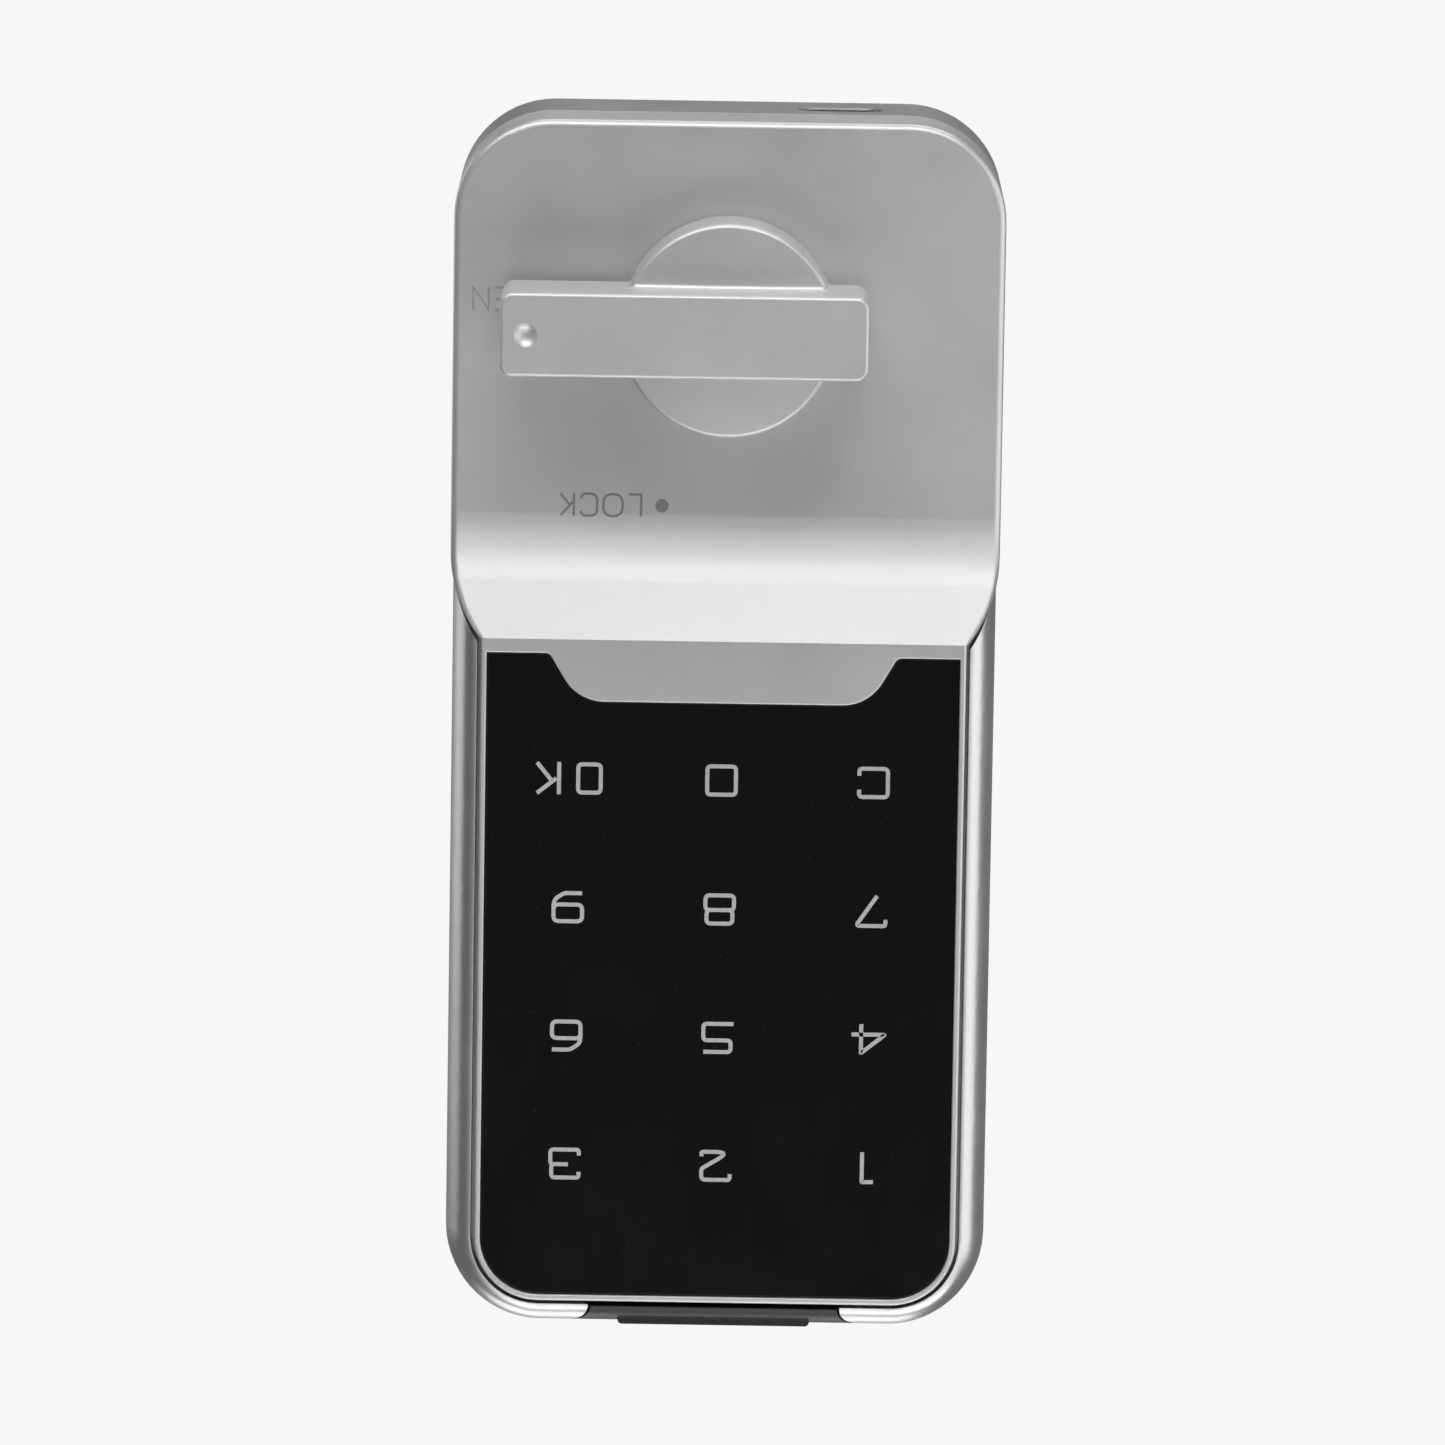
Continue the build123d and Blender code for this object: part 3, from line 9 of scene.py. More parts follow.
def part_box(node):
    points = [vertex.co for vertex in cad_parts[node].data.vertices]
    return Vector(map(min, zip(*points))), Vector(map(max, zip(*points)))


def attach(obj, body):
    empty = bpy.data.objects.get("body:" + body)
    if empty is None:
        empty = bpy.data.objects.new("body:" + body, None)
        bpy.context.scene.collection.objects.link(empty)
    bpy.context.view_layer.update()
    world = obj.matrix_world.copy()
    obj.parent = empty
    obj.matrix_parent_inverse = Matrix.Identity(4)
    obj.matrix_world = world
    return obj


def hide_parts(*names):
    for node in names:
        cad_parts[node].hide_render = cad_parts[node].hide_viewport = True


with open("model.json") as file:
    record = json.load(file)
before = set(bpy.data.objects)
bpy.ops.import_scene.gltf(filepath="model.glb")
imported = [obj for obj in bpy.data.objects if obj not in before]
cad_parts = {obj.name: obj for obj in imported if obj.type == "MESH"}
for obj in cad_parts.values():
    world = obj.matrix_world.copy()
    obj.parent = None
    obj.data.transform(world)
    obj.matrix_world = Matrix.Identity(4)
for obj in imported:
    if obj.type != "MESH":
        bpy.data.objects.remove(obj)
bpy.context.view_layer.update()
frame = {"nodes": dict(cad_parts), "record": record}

# Looks of a keypad smart lock. Lengths in the tables below are millimetres in the row frame:
# x to the right, z up, and a height h counted from the door towards the front, so y = -h.

MM = 0.001
NODES = frame["nodes"]


def box_mm(node):
    """A CAD node's lowest and highest corners in millimetres, to the nearest micrometre."""
    return [[round(value / MM, 3) for value in corner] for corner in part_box(node)]


GLASS_H = -box_mm("glass_panel")[0][1]
PLATEAU_H = -box_mm("face_plate")[0][1]
PRINT_T = 0.02
PRINT_STEP = 0.002

KEY_X = 17.3
KEY_ROWS = (98.1, 83.2, 68.3, 53.4)
KEY_STROKE = 0.46
LABEL_STROKE = 0.27

cell_boxes = [box_mm(f"battery_{number}") for number in (1, 2, 3)]
CELL_X = [(low[0] + high[0]) / 2 for low, high in cell_boxes]
CELL_LOW, CELL_HIGH = cell_boxes[0]
CELL_R = (CELL_HIGH[0] - CELL_LOW[0]) / 2
CELL_H = -(CELL_LOW[1] + CELL_HIGH[1]) / 2
CELL_LOW_Z = CELL_LOW[2]
CELL_TOP_Z = CELL_HIGH[2]


# ------------------------------------------------------------------ node materials
class Finish:
    """A node material, with short calls that add nodes and wire them to its shader."""

    def __init__(self, name, colour=(0.5, 0.5, 0.5), roughness=0.5, metallic=0.0, soften_mm=0.12):
        self.material = bpy.data.materials.new(name)
        self.material.use_nodes = True
        self.material.diffuse_color = (*colour, 1)
        self.tree = self.material.node_tree
        self.shader = self.tree.nodes["Principled BSDF"]
        self.put("Base Color", (*colour, 1))
        self.put("Roughness", roughness)
        self.put("Metallic", metallic)
        coords = self.add("ShaderNodeTexCoord")
        scale = self.add("ShaderNodeVectorMath", operation="SCALE")
        scale.inputs["Scale"].default_value = 1000
        self.link(coords.outputs["Object"], scale.inputs[0])
        self.mm = scale.outputs[0]
        self.normal = None
        if soften_mm:
            bevel = self.add("ShaderNodeBevel", samples=4)
            bevel.inputs["Radius"].default_value = soften_mm * MM
            self.set_normal(bevel.outputs[0])

    def add(self, kind, **settings):
        node = self.tree.nodes.new(kind)
        for key, value in settings.items():
            setattr(node, key, value)
        return node

    def link(self, source, target):
        self.tree.links.new(source, target)

    def put(self, socket, value):
        """Sets a shader socket to a constant, or wires an output to it."""
        if isinstance(value, bpy.types.NodeSocket):
            self.link(value, self.shader.inputs[socket])
        else:
            self.shader.inputs[socket].default_value = value

    def feed(self, target, value):
        if isinstance(value, bpy.types.NodeSocket):
            self.link(value, target)
        elif isinstance(value, tuple) and len(value) == 3:
            target.default_value = (*value, 1)
        else:
            target.default_value = value

    def set_normal(self, output):
        self.normal = output
        self.put("Normal", output)

    def stretched(self, factors):
        mapping = self.add("ShaderNodeMapping")
        mapping.inputs["Scale"].default_value = factors
        self.link(self.mm, mapping.inputs[0])
        return mapping.outputs[0]

    def noise(self, per_mm, detail=2.0, vector=None):
        node = self.add("ShaderNodeTexNoise")
        node.inputs["Scale"].default_value = per_mm
        node.inputs["Detail"].default_value = detail
        self.link(vector or self.mm, node.inputs["Vector"])
        return node.outputs["Fac"]

    def pores(self, per_mm, vector=None):
        node = self.add("ShaderNodeTexVoronoi")
        node.inputs["Scale"].default_value = per_mm
        self.link(vector or self.mm, node.inputs["Vector"])
        return node.outputs["Distance"]

    def math(self, operation, a, b=0.0, clamp=False):
        node = self.add("ShaderNodeMath", operation=operation, use_clamp=clamp)
        self.feed(node.inputs[0], a)
        self.feed(node.inputs[1], b)
        return node.outputs[0]

    def span(self, value, low, high, from_low=0.3, from_high=0.7):
        node = self.add("ShaderNodeMapRange")
        self.link(value, node.inputs[0])
        for index, number in enumerate((from_low, from_high, low, high), start=1):
            node.inputs[index].default_value = number
        return node.outputs[0]

    def blend(self, factor, a, b):
        node = self.add("ShaderNodeMix", data_type="RGBA")
        self.feed(node.inputs[0], factor)
        self.feed(node.inputs[6], a)
        self.feed(node.inputs[7], b)
        return node.outputs[2]

    def bump(self, height, depth_mm):
        node = self.add("ShaderNodeBump")
        node.inputs["Distance"].default_value = depth_mm * MM
        self.link(height, node.inputs["Height"])
        if self.normal:
            self.link(self.normal, node.inputs["Normal"])
        self.set_normal(node.outputs[0])

    def edges(self, width_mm, gain=4.0):
        """1 along the outer and inner edges of the piece, 0 on its faces."""
        bevel = self.add("ShaderNodeBevel", samples=4)
        bevel.inputs["Radius"].default_value = width_mm * MM
        geometry = self.add("ShaderNodeNewGeometry")
        dot = self.add("ShaderNodeVectorMath", operation="DOT_PRODUCT")
        self.link(bevel.outputs[0], dot.inputs[0])
        self.link(geometry.outputs["Normal"], dot.inputs[1])
        away = self.math("SUBTRACT", 1.0, dot.outputs["Value"])
        return self.math("MULTIPLY", away, gain, clamp=True)

    def axis(self, index):
        """One coordinate in millimetres: 0 for x, 1 for y, 2 for z."""
        split = self.add("ShaderNodeSeparateXYZ")
        self.link(self.mm, split.inputs[0])
        return split.outputs[index]


def grey(value, warm=0.0):
    return (value * (1 + warm), value, value * (1 - warm))


def satin_metal(name, tone, roughness, metal, grain_mm=0.006, warm=0.0):
    """Plated zinc casting: fine blasted grain, faint flow marks, polished along its edges, where its
    colour is also lightened as a painted edge highlight.
    """
    made = Finish(name, grey(tone, warm), roughness, metal)
    flow = made.noise(0.09, 3.0)
    peel = made.noise(0.7, 2.0)
    grain = made.noise(6.5, 2.0)
    # Every outer and inner edge is painted lighter: polished wear, and also a painted edge highlight.
    edge_wear_and_highlight = made.edges(0.22, 3.0)
    body = made.blend(made.span(flow, 0, 1), grey(tone * 0.965, warm), grey(tone * 1.03, warm))
    speckled = made.blend(made.span(grain, 0, 0.5), body, grey(tone * 0.9, warm))
    made.put("Base Color", made.blend(edge_wear_and_highlight, speckled, grey(min(tone * 1.3, 0.95), warm)))
    base = made.math("ADD", made.span(flow, -0.015, 0.015), made.span(peel, -0.01, 0.01))
    rough = made.math("ADD", base, made.span(grain, roughness - 0.03, roughness + 0.05))
    made.put("Roughness", made.math("SUBTRACT", rough, made.math("MULTIPLY", edge_wear_and_highlight, 0.08), clamp=True))
    made.bump(peel, 0.004)
    made.bump(grain, grain_mm)
    return made.material


def gloss_glass():
    """Black printed cover glass: glossy, with dust, faint wipe marks and finger grease on the keys."""
    made = Finish("glass_black", grey(0.003), 0.05, soften_mm=0.1)
    grease = made.noise(0.07, 4.0)
    wipes = made.noise(1.0, 3.0, made.stretched((0.55, 1.0, 0.09)))
    dust = made.pores(1.15)
    specks = made.span(dust, 1.0, 0.0, 0.035, 0.06)
    sparse = made.span(made.noise(0.35, 1.0), 0.0, 1.0, 0.55, 0.6)
    seen = made.math("MULTIPLY", specks, sparse, clamp=True)
    made.put("Base Color", made.blend(seen, grey(0.003), grey(0.06)))
    film = made.math("ADD", made.span(grease, 0.0, 0.07, 0.42, 0.75), made.span(wipes, 0.0, 0.03))
    dull = made.math("ADD", film, made.math("MULTIPLY", seen, 0.4))
    made.put("Roughness", made.math("ADD", dull, 0.045, clamp=True))
    made.shader.inputs["IOR"].default_value = 1.5
    made.bump(made.noise(0.045, 1.0), 0.012)
    return made.material


def moulded(name, tone, roughness, per_mm=2.6, depth_mm=0.02, warm=0.0):
    """Moulded plastic with a spark-eroded grain, rubbed smoother along its edges, which are also painted
    lighter: rubbed wear plus a painted edge highlight.
    """
    made = Finish(name, grey(tone, warm), roughness, soften_mm=0.18)
    grain = made.noise(per_mm, 3.0)
    pits = made.pores(per_mm * 1.4)
    flow = made.noise(0.12, 2.0)
    # Outer and inner edges are painted lighter: rubbed wear, and also a painted edge highlight.
    edge_wear_and_highlight = made.edges(0.3)
    body = made.blend(made.span(flow, 0, 1), grey(tone * 0.86, warm), grey(tone * 1.16, warm))
    made.put("Base Color", made.blend(made.math("MULTIPLY", edge_wear_and_highlight, 0.5), body, grey(tone * 1.7, warm)))
    rough = made.span(grain, roughness - 0.07, roughness + 0.09)
    made.put("Roughness", made.math("SUBTRACT", rough, made.math("MULTIPLY", edge_wear_and_highlight, 0.12), clamp=True))
    made.bump(grain, depth_mm)
    made.bump(pits, depth_mm * 0.6)
    return made.material


def foam():
    """Closed-cell sealing foam: deep black with open pores on its skin."""
    made = Finish("gasket", grey(0.014), 0.92, soften_mm=0.15)
    pores = made.pores(3.2)
    # The pore hollows are painted darker than the skin around them: painted shade.
    made.put("Base Color", made.blend(made.span(pores, 0, 1, 0.1, 0.6), grey(0.006), grey(0.022)))
    made.put("Roughness", made.span(made.noise(1.5, 2.0), 0.85, 0.98))
    made.bump(pores, 0.12)
    return made.material


def turned(name, tone, roughness, warm=0.0):
    """Plated steel turned about the y axis: fine rings, duller in its valleys."""
    made = Finish(name, grey(tone, warm), roughness, 1.0)
    flat = made.stretched((1.0, 0.0, 1.0))
    length = made.add("ShaderNodeVectorMath", operation="LENGTH")
    made.link(flat, length.inputs[0])
    wobble = made.math("MULTIPLY", made.noise(0.5, 2.0), 0.5)
    radius = made.math("ADD", length.outputs["Value"], wobble)
    rings = made.math("SINE", made.math("MULTIPLY", radius, 24.0))
    fine = made.noise(4.0, 2.0)
    # Outer and inner edges are painted lighter: worn plating, and also a painted edge highlight.
    edge_wear_and_highlight = made.edges(0.22)
    cloud = made.span(made.noise(0.25, 3.0), 0, 1)
    body = made.blend(cloud, grey(tone * 0.86, warm), grey(tone * 1.08, warm))
    made.put("Base Color", made.blend(edge_wear_and_highlight, body, grey(min(tone * 1.35, 0.95), warm)))
    made.put("Roughness", made.span(rings, roughness - 0.05, roughness + 0.07, -1.0, 1.0))
    made.bump(rings, 0.0025)
    made.bump(fine, 0.004)
    return made.material


def rolled(name, tone, roughness, streak=(9.0, 9.0, 0.35), warm=0.0):
    """Plated sheet steel: rolling streaks along z, cloudy plating, and edges painted lighter as handling
    wear and as a painted edge highlight.
    """
    made = Finish(name, grey(tone, warm), roughness, 1.0, soften_mm=0.2)
    streaks = made.noise(1.0, 3.0, made.stretched(streak))
    clouds = made.noise(0.16, 4.0)
    # Outer and inner edges are painted lighter: handling wear, and also a painted edge highlight.
    edge_wear_and_highlight = made.edges(0.35)
    body = made.blend(made.span(clouds, 0, 1), grey(tone * 0.92, warm), grey(tone * 1.05, warm))
    lined = made.blend(made.span(streaks, 0, 0.6), body, grey(tone * 0.8, warm))
    made.put("Base Color", made.blend(edge_wear_and_highlight, lined, grey(min(tone * 1.4, 0.95), warm)))
    streaked = made.span(streaks, roughness - 0.04, roughness + 0.06)
    made.put("Roughness", made.math("ADD", streaked, made.span(clouds, -0.02, 0.03)))
    made.bump(streaks, 0.006)
    return made.material


def solder_mask():
    """A circuit board's green lacquer over its copper tracks."""
    made = Finish("board", (0.01, 0.07, 0.035), 0.3, soften_mm=0.08)
    tracks = made.add("ShaderNodeTexBrick")
    tracks.inputs["Scale"].default_value = 0.42
    tracks.inputs["Mortar Size"].default_value = 0.035
    turn = made.add("ShaderNodeMapping")
    turn.inputs["Rotation"].default_value = (pi / 2, 0, 0)
    made.link(made.mm, turn.inputs[0])
    made.link(turn.outputs[0], tracks.inputs["Vector"])
    copper = tracks.outputs["Fac"]
    patch = made.span(made.noise(0.3, 1.0), 0.0, 1.0, 0.48, 0.5)
    line = made.math("MULTIPLY", copper, patch)
    made.put("Base Color", made.blend(line, (0.008, 0.055, 0.028), (0.03, 0.16, 0.07)))
    made.put("Roughness", made.span(made.noise(1.2, 2.0), 0.24, 0.4))
    made.bump(line, 0.03)
    made.bump(made.noise(5.0, 1.0), 0.004)
    return made.material


# Heights on a dry cell: BASE_TOP is up from its base, the others are down from its nub
# end, and each edge is blurred over WRAP_BLUR.
BAND_LOW = 13.6
STRIPE_LOW = 14.7
STRIPE_TOP = 14.0
CAP_LOW = 1.25
BASE_TOP = 0.25
WRAP_BLUR = 0.1


def cell_wrap(name, nub_up):
    """A dry cell: printed shrink film in two colours with a steel end at each side."""
    made = Finish(name, grey(0.03), 0.3, soften_mm=0.15)
    z = made.axis(2)
    length = CELL_TOP_Z - CELL_LOW_Z
    if nub_up:
        along = made.math("SUBTRACT", z, CELL_LOW_Z)
    else:
        along = made.math("SUBTRACT", CELL_TOP_Z, z)

    def above(height):
        """0 below a height on the cell and 1 above it."""
        return made.span(along, 0.0, 1.0, height, height + WRAP_BLUR)

    band = above(length - BAND_LOW)
    under_top = made.math("SUBTRACT", 1.0, above(length - STRIPE_TOP))
    stripe = made.math("MULTIPLY", above(length - STRIPE_LOW), under_top)
    low_end = made.span(along, 1.0, 0.0, BASE_TOP, BASE_TOP + WRAP_BLUR)
    high_end = above(length - CAP_LOW)
    steel = made.math("MAXIMUM", low_end, high_end)
    scuffs = made.noise(1.1, 3.0, made.stretched((1.0, 1.0, 0.3)))
    dark = made.blend(made.span(scuffs, 0, 1), (0.016, 0.017, 0.02), (0.02, 0.021, 0.024))
    gold = made.blend(made.span(scuffs, 0, 1), (0.64, 0.38, 0.14), (0.68, 0.41, 0.16))
    film = made.blend(band, dark, gold)
    film = made.blend(stripe, film, (0.75, 0.75, 0.74))
    made.put("Base Color", made.blend(steel, film, (0.62, 0.61, 0.59)))
    made.put("Metallic", made.math("MAXIMUM", steel, made.math("MULTIPLY", band, 0.75)))
    made.put("Roughness", made.span(scuffs, 0.25, 0.31))
    made.bump(scuffs, 0.0015)
    return made.material


def ink(name, tone):
    """Screen-printed ink, a little uneven and thinner in places."""
    made = Finish(name, grey(tone), 0.55, soften_mm=0)
    cover = made.noise(3.5, 3.0)
    made.put("Base Color", made.blend(made.span(cover, 0, 1), grey(tone * 0.88), grey(tone * 1.06)))
    made.put("Roughness", made.span(cover, 0.48, 0.66))
    made.bump(cover, 0.004)
    return made.material


def lamp_body():
    """A white lamp package with a yellowish phosphor window."""
    made = Finish("led", grey(0.75), 0.4)
    spots = made.noise(1.3, 2.0)
    made.put("Base Color", made.blend(made.span(spots, 0, 1, 0.45, 0.6), grey(0.78), (0.8, 0.7, 0.35)))
    made.put("Roughness", made.span(spots, 0.3, 0.5))
    made.bump(made.noise(5.0, 2.0), 0.004)
    return made.material


FLEX_LINE_PITCH = 0.8


def amber_film():
    """A flexible circuit: amber film over parallel copper lines."""
    made = Finish("polyimide", (0.45, 0.18, 0.03), 0.3)
    lines = made.math("SINE", made.math("MULTIPLY", made.axis(0), 2 * pi / FLEX_LINE_PITCH))
    copper = made.span(lines, 0.0, 1.0, 0.0, 0.2)
    made.put("Base Color", made.blend(copper, (0.33, 0.12, 0.015), (0.62, 0.3, 0.08)))
    made.put("Roughness", made.span(made.noise(1.0, 2.0), 0.24, 0.38))
    made.bump(copper, 0.02)
    return made.material


FINISHES = {
    "housing": satin_metal("housing", 0.7, 0.36, 0.95),
    "face": satin_metal("face", 0.655, 0.42, 0.7),
    "knob": satin_metal("knob", 0.66, 0.4, 0.6),
    "glass_black": gloss_glass(),
    "cover": moulded("cover", 0.011, 0.46),
    "nylon": moulded("nylon", 0.018, 0.5, 2.2, 0.03),
    "acetal": moulded("acetal", 0.72, 0.36, 3.0, 0.01),
    "film": moulded("film", 0.02, 0.4, 4.0, 0.004),
    "socket": rolled("socket", 0.68, 0.2, (6.0, 6.0, 1.0)),
    "chip": moulded("chip", 0.022, 0.5, 6.0, 0.008),
    "gasket": foam(),
    "steel": turned("steel", 0.58, 0.24),
    "zinc": rolled("zinc", 0.6, 0.3),
    "bronze": turned("bronze", 0.45, 0.34, 0.3),
    "magnet": turned("magnet", 0.66, 0.2),
    "contact": rolled("contact", 0.64, 0.24, (6.0, 6.0, 6.0), 0.08),
    "motor": rolled("motor", 0.55, 0.3, (4.0, 4.0, 0.3)),
    "board": solder_mask(),
    "led": lamp_body(),
    "polyimide": amber_film(),
}
ZINC_TURNED = turned("zinc_turned", 0.62, 0.26)
CELL_DOWN = cell_wrap("cell_nub_low", False)
CELL_UP = cell_wrap("cell_nub_high", True)
KEY_INK = ink("key_ink", 0.5)
LABEL_INK = ink("label_ink", 0.3)
CELL_INK = ink("cell_ink", 0.75)

# Turned parts that the record's slot alone would show as rolled sheet.
TURNED = ("barrel", "barrel_nut", "barrel_washer", "cam_washer", "cam_screw", "rear_screws", "face_screws",
          "board_screws", "bracket_screws")

for subpart in frame["record"]["subparts"]:
    node_name = subpart["node"]
    slot_name = subpart["material_slot"]
    node = NODES[node_name]
    node.data.materials.clear()
    if slot_name == "cell":
        node.data.materials.append(CELL_UP if node_name.endswith("2") else CELL_DOWN)
    elif node_name in TURNED:
        node.data.materials.append(ZINC_TURNED)
    else:
        node.data.materials.append(FINISHES[slot_name])


# --------------------------------------------------------------------- mesh tools
def piece(name, vertices, faces, material, body, smooth=False):
    """A closed mesh from points in millimetres, riding on a body."""
    mesh = bpy.data.meshes.new(name)
    mesh.from_pydata([Vector(v) * MM for v in vertices], [], faces)
    work = bmesh.new()
    work.from_mesh(mesh)
    bmesh.ops.recalc_face_normals(work, faces=work.faces)
    work.to_mesh(mesh)
    work.free()
    for polygon in mesh.polygons:
        polygon.use_smooth = smooth
    mesh.materials.append(material)
    made = bpy.data.objects.new(name, mesh)
    bpy.context.scene.collection.objects.link(made)
    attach(made, body)
    return made


def rounded(points, radius, closed=False, steps=5):
    """A polyline in the plane with its corners rounded."""
    count = len(points)
    made = []
    for i, corner in enumerate(points):
        if not closed and i in (0, count - 1):
            made.append(Vector(corner))
            continue
        here = Vector(corner)
        back = Vector(points[i - 1]) - here
        ahead = Vector(points[(i + 1) % count]) - here
        half_turn = (pi - back.angle(ahead)) / 2
        reach = min(radius * tan(half_turn), back.length * 0.49, ahead.length * 0.49)
        if reach < 0.02:
            made.append(here)
            continue
        start = here + back.normalized() * reach
        end = here + ahead.normalized() * reach
        for s in range(steps + 1):
            t = s / steps
            made.append(start * (1 - t) ** 2 + here * 2 * t * (1 - t) + end * t**2)
    return made


def ribbon(points, width, closed=False):
    """Left and right edges of a stroke along a polyline, mitred at its corners."""
    count = len(points)
    pairs = []
    for i, here in enumerate(points):
        before = points[i - 1] if closed or i > 0 else None
        after = points[(i + 1) % count] if closed or i < count - 1 else None
        runs = [(b - a).normalized() for a, b in ((before, here), (here, after)) if a and b]
        sides = [Vector((-run.y, run.x)) for run in runs]
        side = sum(sides, Vector((0, 0))).normalized()
        stretch = min(1 / max(side.dot(sides[0]), 0.3), 2.2)
        offset = side * stretch * width / 2
        pairs.append((here + offset, here - offset))
    return pairs


def stroke_solid(pairs, closed, place, low, high, vertices, faces):
    """Adds a thin closed solid over a ribbon. place turns (u, v, height) into a point."""
    base = len(vertices)
    for left, right in pairs:
        for edge, height in ((left, low), (right, low), (right, high), (left, high)):
            vertices.append(place(edge.x, edge.y, height))
    count = len(pairs)
    for i in range(count if closed else count - 1):
        a = base + 4 * i
        b = base + 4 * ((i + 1) % count)
        for k in range(4):
            n = (k + 1) % 4
            faces.append((a + k, a + n, b + n, b + k))
    if not closed:
        faces.append((base, base + 1, base + 2, base + 3))
        last = base + 4 * (count - 1)
        faces.append((last + 3, last + 2, last + 1, last))


def printed(name, strokes, width, place, material, body):
    """A printed mark: every stroke is (points, corner radius, closed)."""
    vertices = []
    faces = []
    for order, (points, radius, closed) in enumerate(strokes):
        line = rounded(points, radius, closed)
        top = PRINT_T + PRINT_STEP * order
        stroke_solid(ribbon(line, width, closed), closed, place, -PRINT_T, top, vertices, faces)
    return piece(name, vertices, faces, material, body)


def on_face(x, z, face_h):
    """Places marks on a face that looks to the front."""
    return lambda u, v, height: (x + u, -(face_h + height), z + v)


def sweep(name, path, radius, material, body, sides=12):
    """A round bar with closed ends along a path of points in millimetres."""
    vertices = []
    faces = []
    side = None
    for i, here in enumerate(path):
        ahead = path[min(i + 1, len(path) - 1)] - path[max(i - 1, 0)]
        ahead.normalize()
        if side is None:
            side = ahead.orthogonal().normalized()
        side = (side - ahead * side.dot(ahead)).normalized()
        other = ahead.cross(side)
        for k in range(sides):
            a = 2 * pi * k / sides
            vertices.append(here + (side * cos(a) + other * sin(a)) * radius)
    for i in range(len(path) - 1):
        for k in range(sides):
            n = (k + 1) % sides
            a = i * sides
            faces.append((a + k, a + n, a + sides + n, a + sides + k))
    faces.append(tuple(range(sides)))
    last = (len(path) - 1) * sides
    faces.append(tuple(last + k for k in range(sides)))
    return piece(name, vertices, faces, material, body, smooth=True)


# ------------------------------------------------------------------------- glyphs
# Key legends: strokes as (points, corner radius, closed), about the middle of the key. Most
# figures reach about HALF each way from it.
HALF = 1.63
SOFT = 0.42
GLYPHS = {
    "1": [([(-0.75, 1.6), (0.55, HALF), (0.55, -1.86)], 0.1, False)],
    "2": [([(-HALF, 0.95), (-HALF, HALF), (HALF, HALF), (HALF, 0.35), (-HALF, -HALF), (HALF, -HALF),
            (HALF, -1.1)], 0.5, False)],
    "3": [([(-HALF, 0.95), (-HALF, HALF), (1.5, HALF), (1.5, 0.08), (-0.4, 0.08)], SOFT, False),
          ([(0.9, 0.08), (HALF, 0.08), (HALF, -HALF), (-HALF, -HALF), (-HALF, -0.95)], SOFT, False)],
    "4": [([(0.9, -1.86), (0.9, 1.5), (-1.8, -0.66), (2.0, -0.66)], 0.05, False)],
    "5": [([(1.62, HALF), (-1.5, HALF), (-1.5, 0.28), (HALF, 0.28), (HALF, -HALF), (-1.8, -HALF)],
           SOFT, False)],
    "6": [([(-HALF, 0.3), (HALF, 0.3), (HALF, -HALF), (-HALF, -HALF)], 0.6, True),
          ([(1.6, HALF), (-0.4, HALF), (-HALF, 0.9), (-HALF, -0.6)], 1.2, False)],
    "7": [([(-HALF, 0.9), (-HALF, HALF), (1.75, HALF), (-0.65, -1.86)], 0.25, False)],
    "8": [([(-1.48, HALF), (1.48, HALF), (1.48, 0.06), (-1.48, 0.06)], 0.5, True),
          ([(-HALF, 0.06), (HALF, 0.06), (HALF, -HALF), (-HALF, -HALF)], 0.5, True)],
    "9": [([(-HALF, HALF), (HALF, HALF), (HALF, -0.3), (-HALF, -0.3)], 0.6, True),
          ([(-1.6, -HALF), (0.4, -HALF), (HALF, -0.9), (HALF, 0.6)], 1.2, False)],
    "C": [([(HALF, 0.8), (HALF, HALF), (-HALF, HALF), (-HALF, -HALF), (HALF, -HALF), (HALF, -0.8)],
           0.5, False)],
    "0": [([(-HALF, HALF), (HALF, HALF), (HALF, -HALF), (-HALF, -HALF)], 0.45, True)],
    "OK": [([(-3.55, HALF), (-0.98, HALF), (-0.98, -HALF), (-3.55, -HALF)], 0.5, True),
           ([(1.2, 1.86), (1.2, -1.86)], 0, False),
           ([(3.7, 1.76), (1.5, 0.02)], 0, False),
           ([(1.95, 0.4), (3.72, -1.78)], 0, False)],
}
ROWS = (("1", "2", "3"), ("4", "5", "6"), ("7", "8", "9"), ("C", "0", "OK"))

for row, z in zip(ROWS, KEY_ROWS):
    for key, x in zip(row, (-KEY_X, 0.0, KEY_X)):
        printed(f"legend_{key}", GLYPHS[key], KEY_STROKE, on_face(x, z, GLASS_H),
                KEY_INK, "lock")

# Letters of the two plateau labels, on a cell of unit height, with their widths.
LETTERS = {
    "L": (0.6, [([(0, 1), (0, 0), (0.6, 0)], 0, False)]),
    "O": (0.94, [([(0, 1), (0.94, 1), (0.94, 0), (0, 0)], 0.5, True)]),
    "C": (0.84, [([(0.82, 0.78), (0.7, 1.0), (0, 1), (0, 0), (0.7, 0), (0.82, 0.22)], 0.42, False)]),
    "K": (0.66, [([(0, 1), (0, 0)], 0, False), ([(0.64, 1), (0.04, 0.36)], 0, False),
                 ([(0.2, 0.52), (0.66, 0)], 0, False)]),
    "P": (0.66, [([(0, 0), (0, 1), (0.66, 1), (0.66, 0.46), (0.02, 0.46)], 0.27, False)]),
    "E": (0.62, [([(0.62, 1), (0, 1), (0, 0), (0.62, 0)], 0, False),
                 ([(0.02, 0.52), (0.56, 0.52)], 0, False)]),
    "N": (0.74, [([(0, 0), (0, 1), (0.74, 0), (0.74, 1)], 0, False)]),
}
LETTER_GAP = 0.3
LABEL_H = 2.5
DOT_R = 0.75
DOT_SIDES = 28


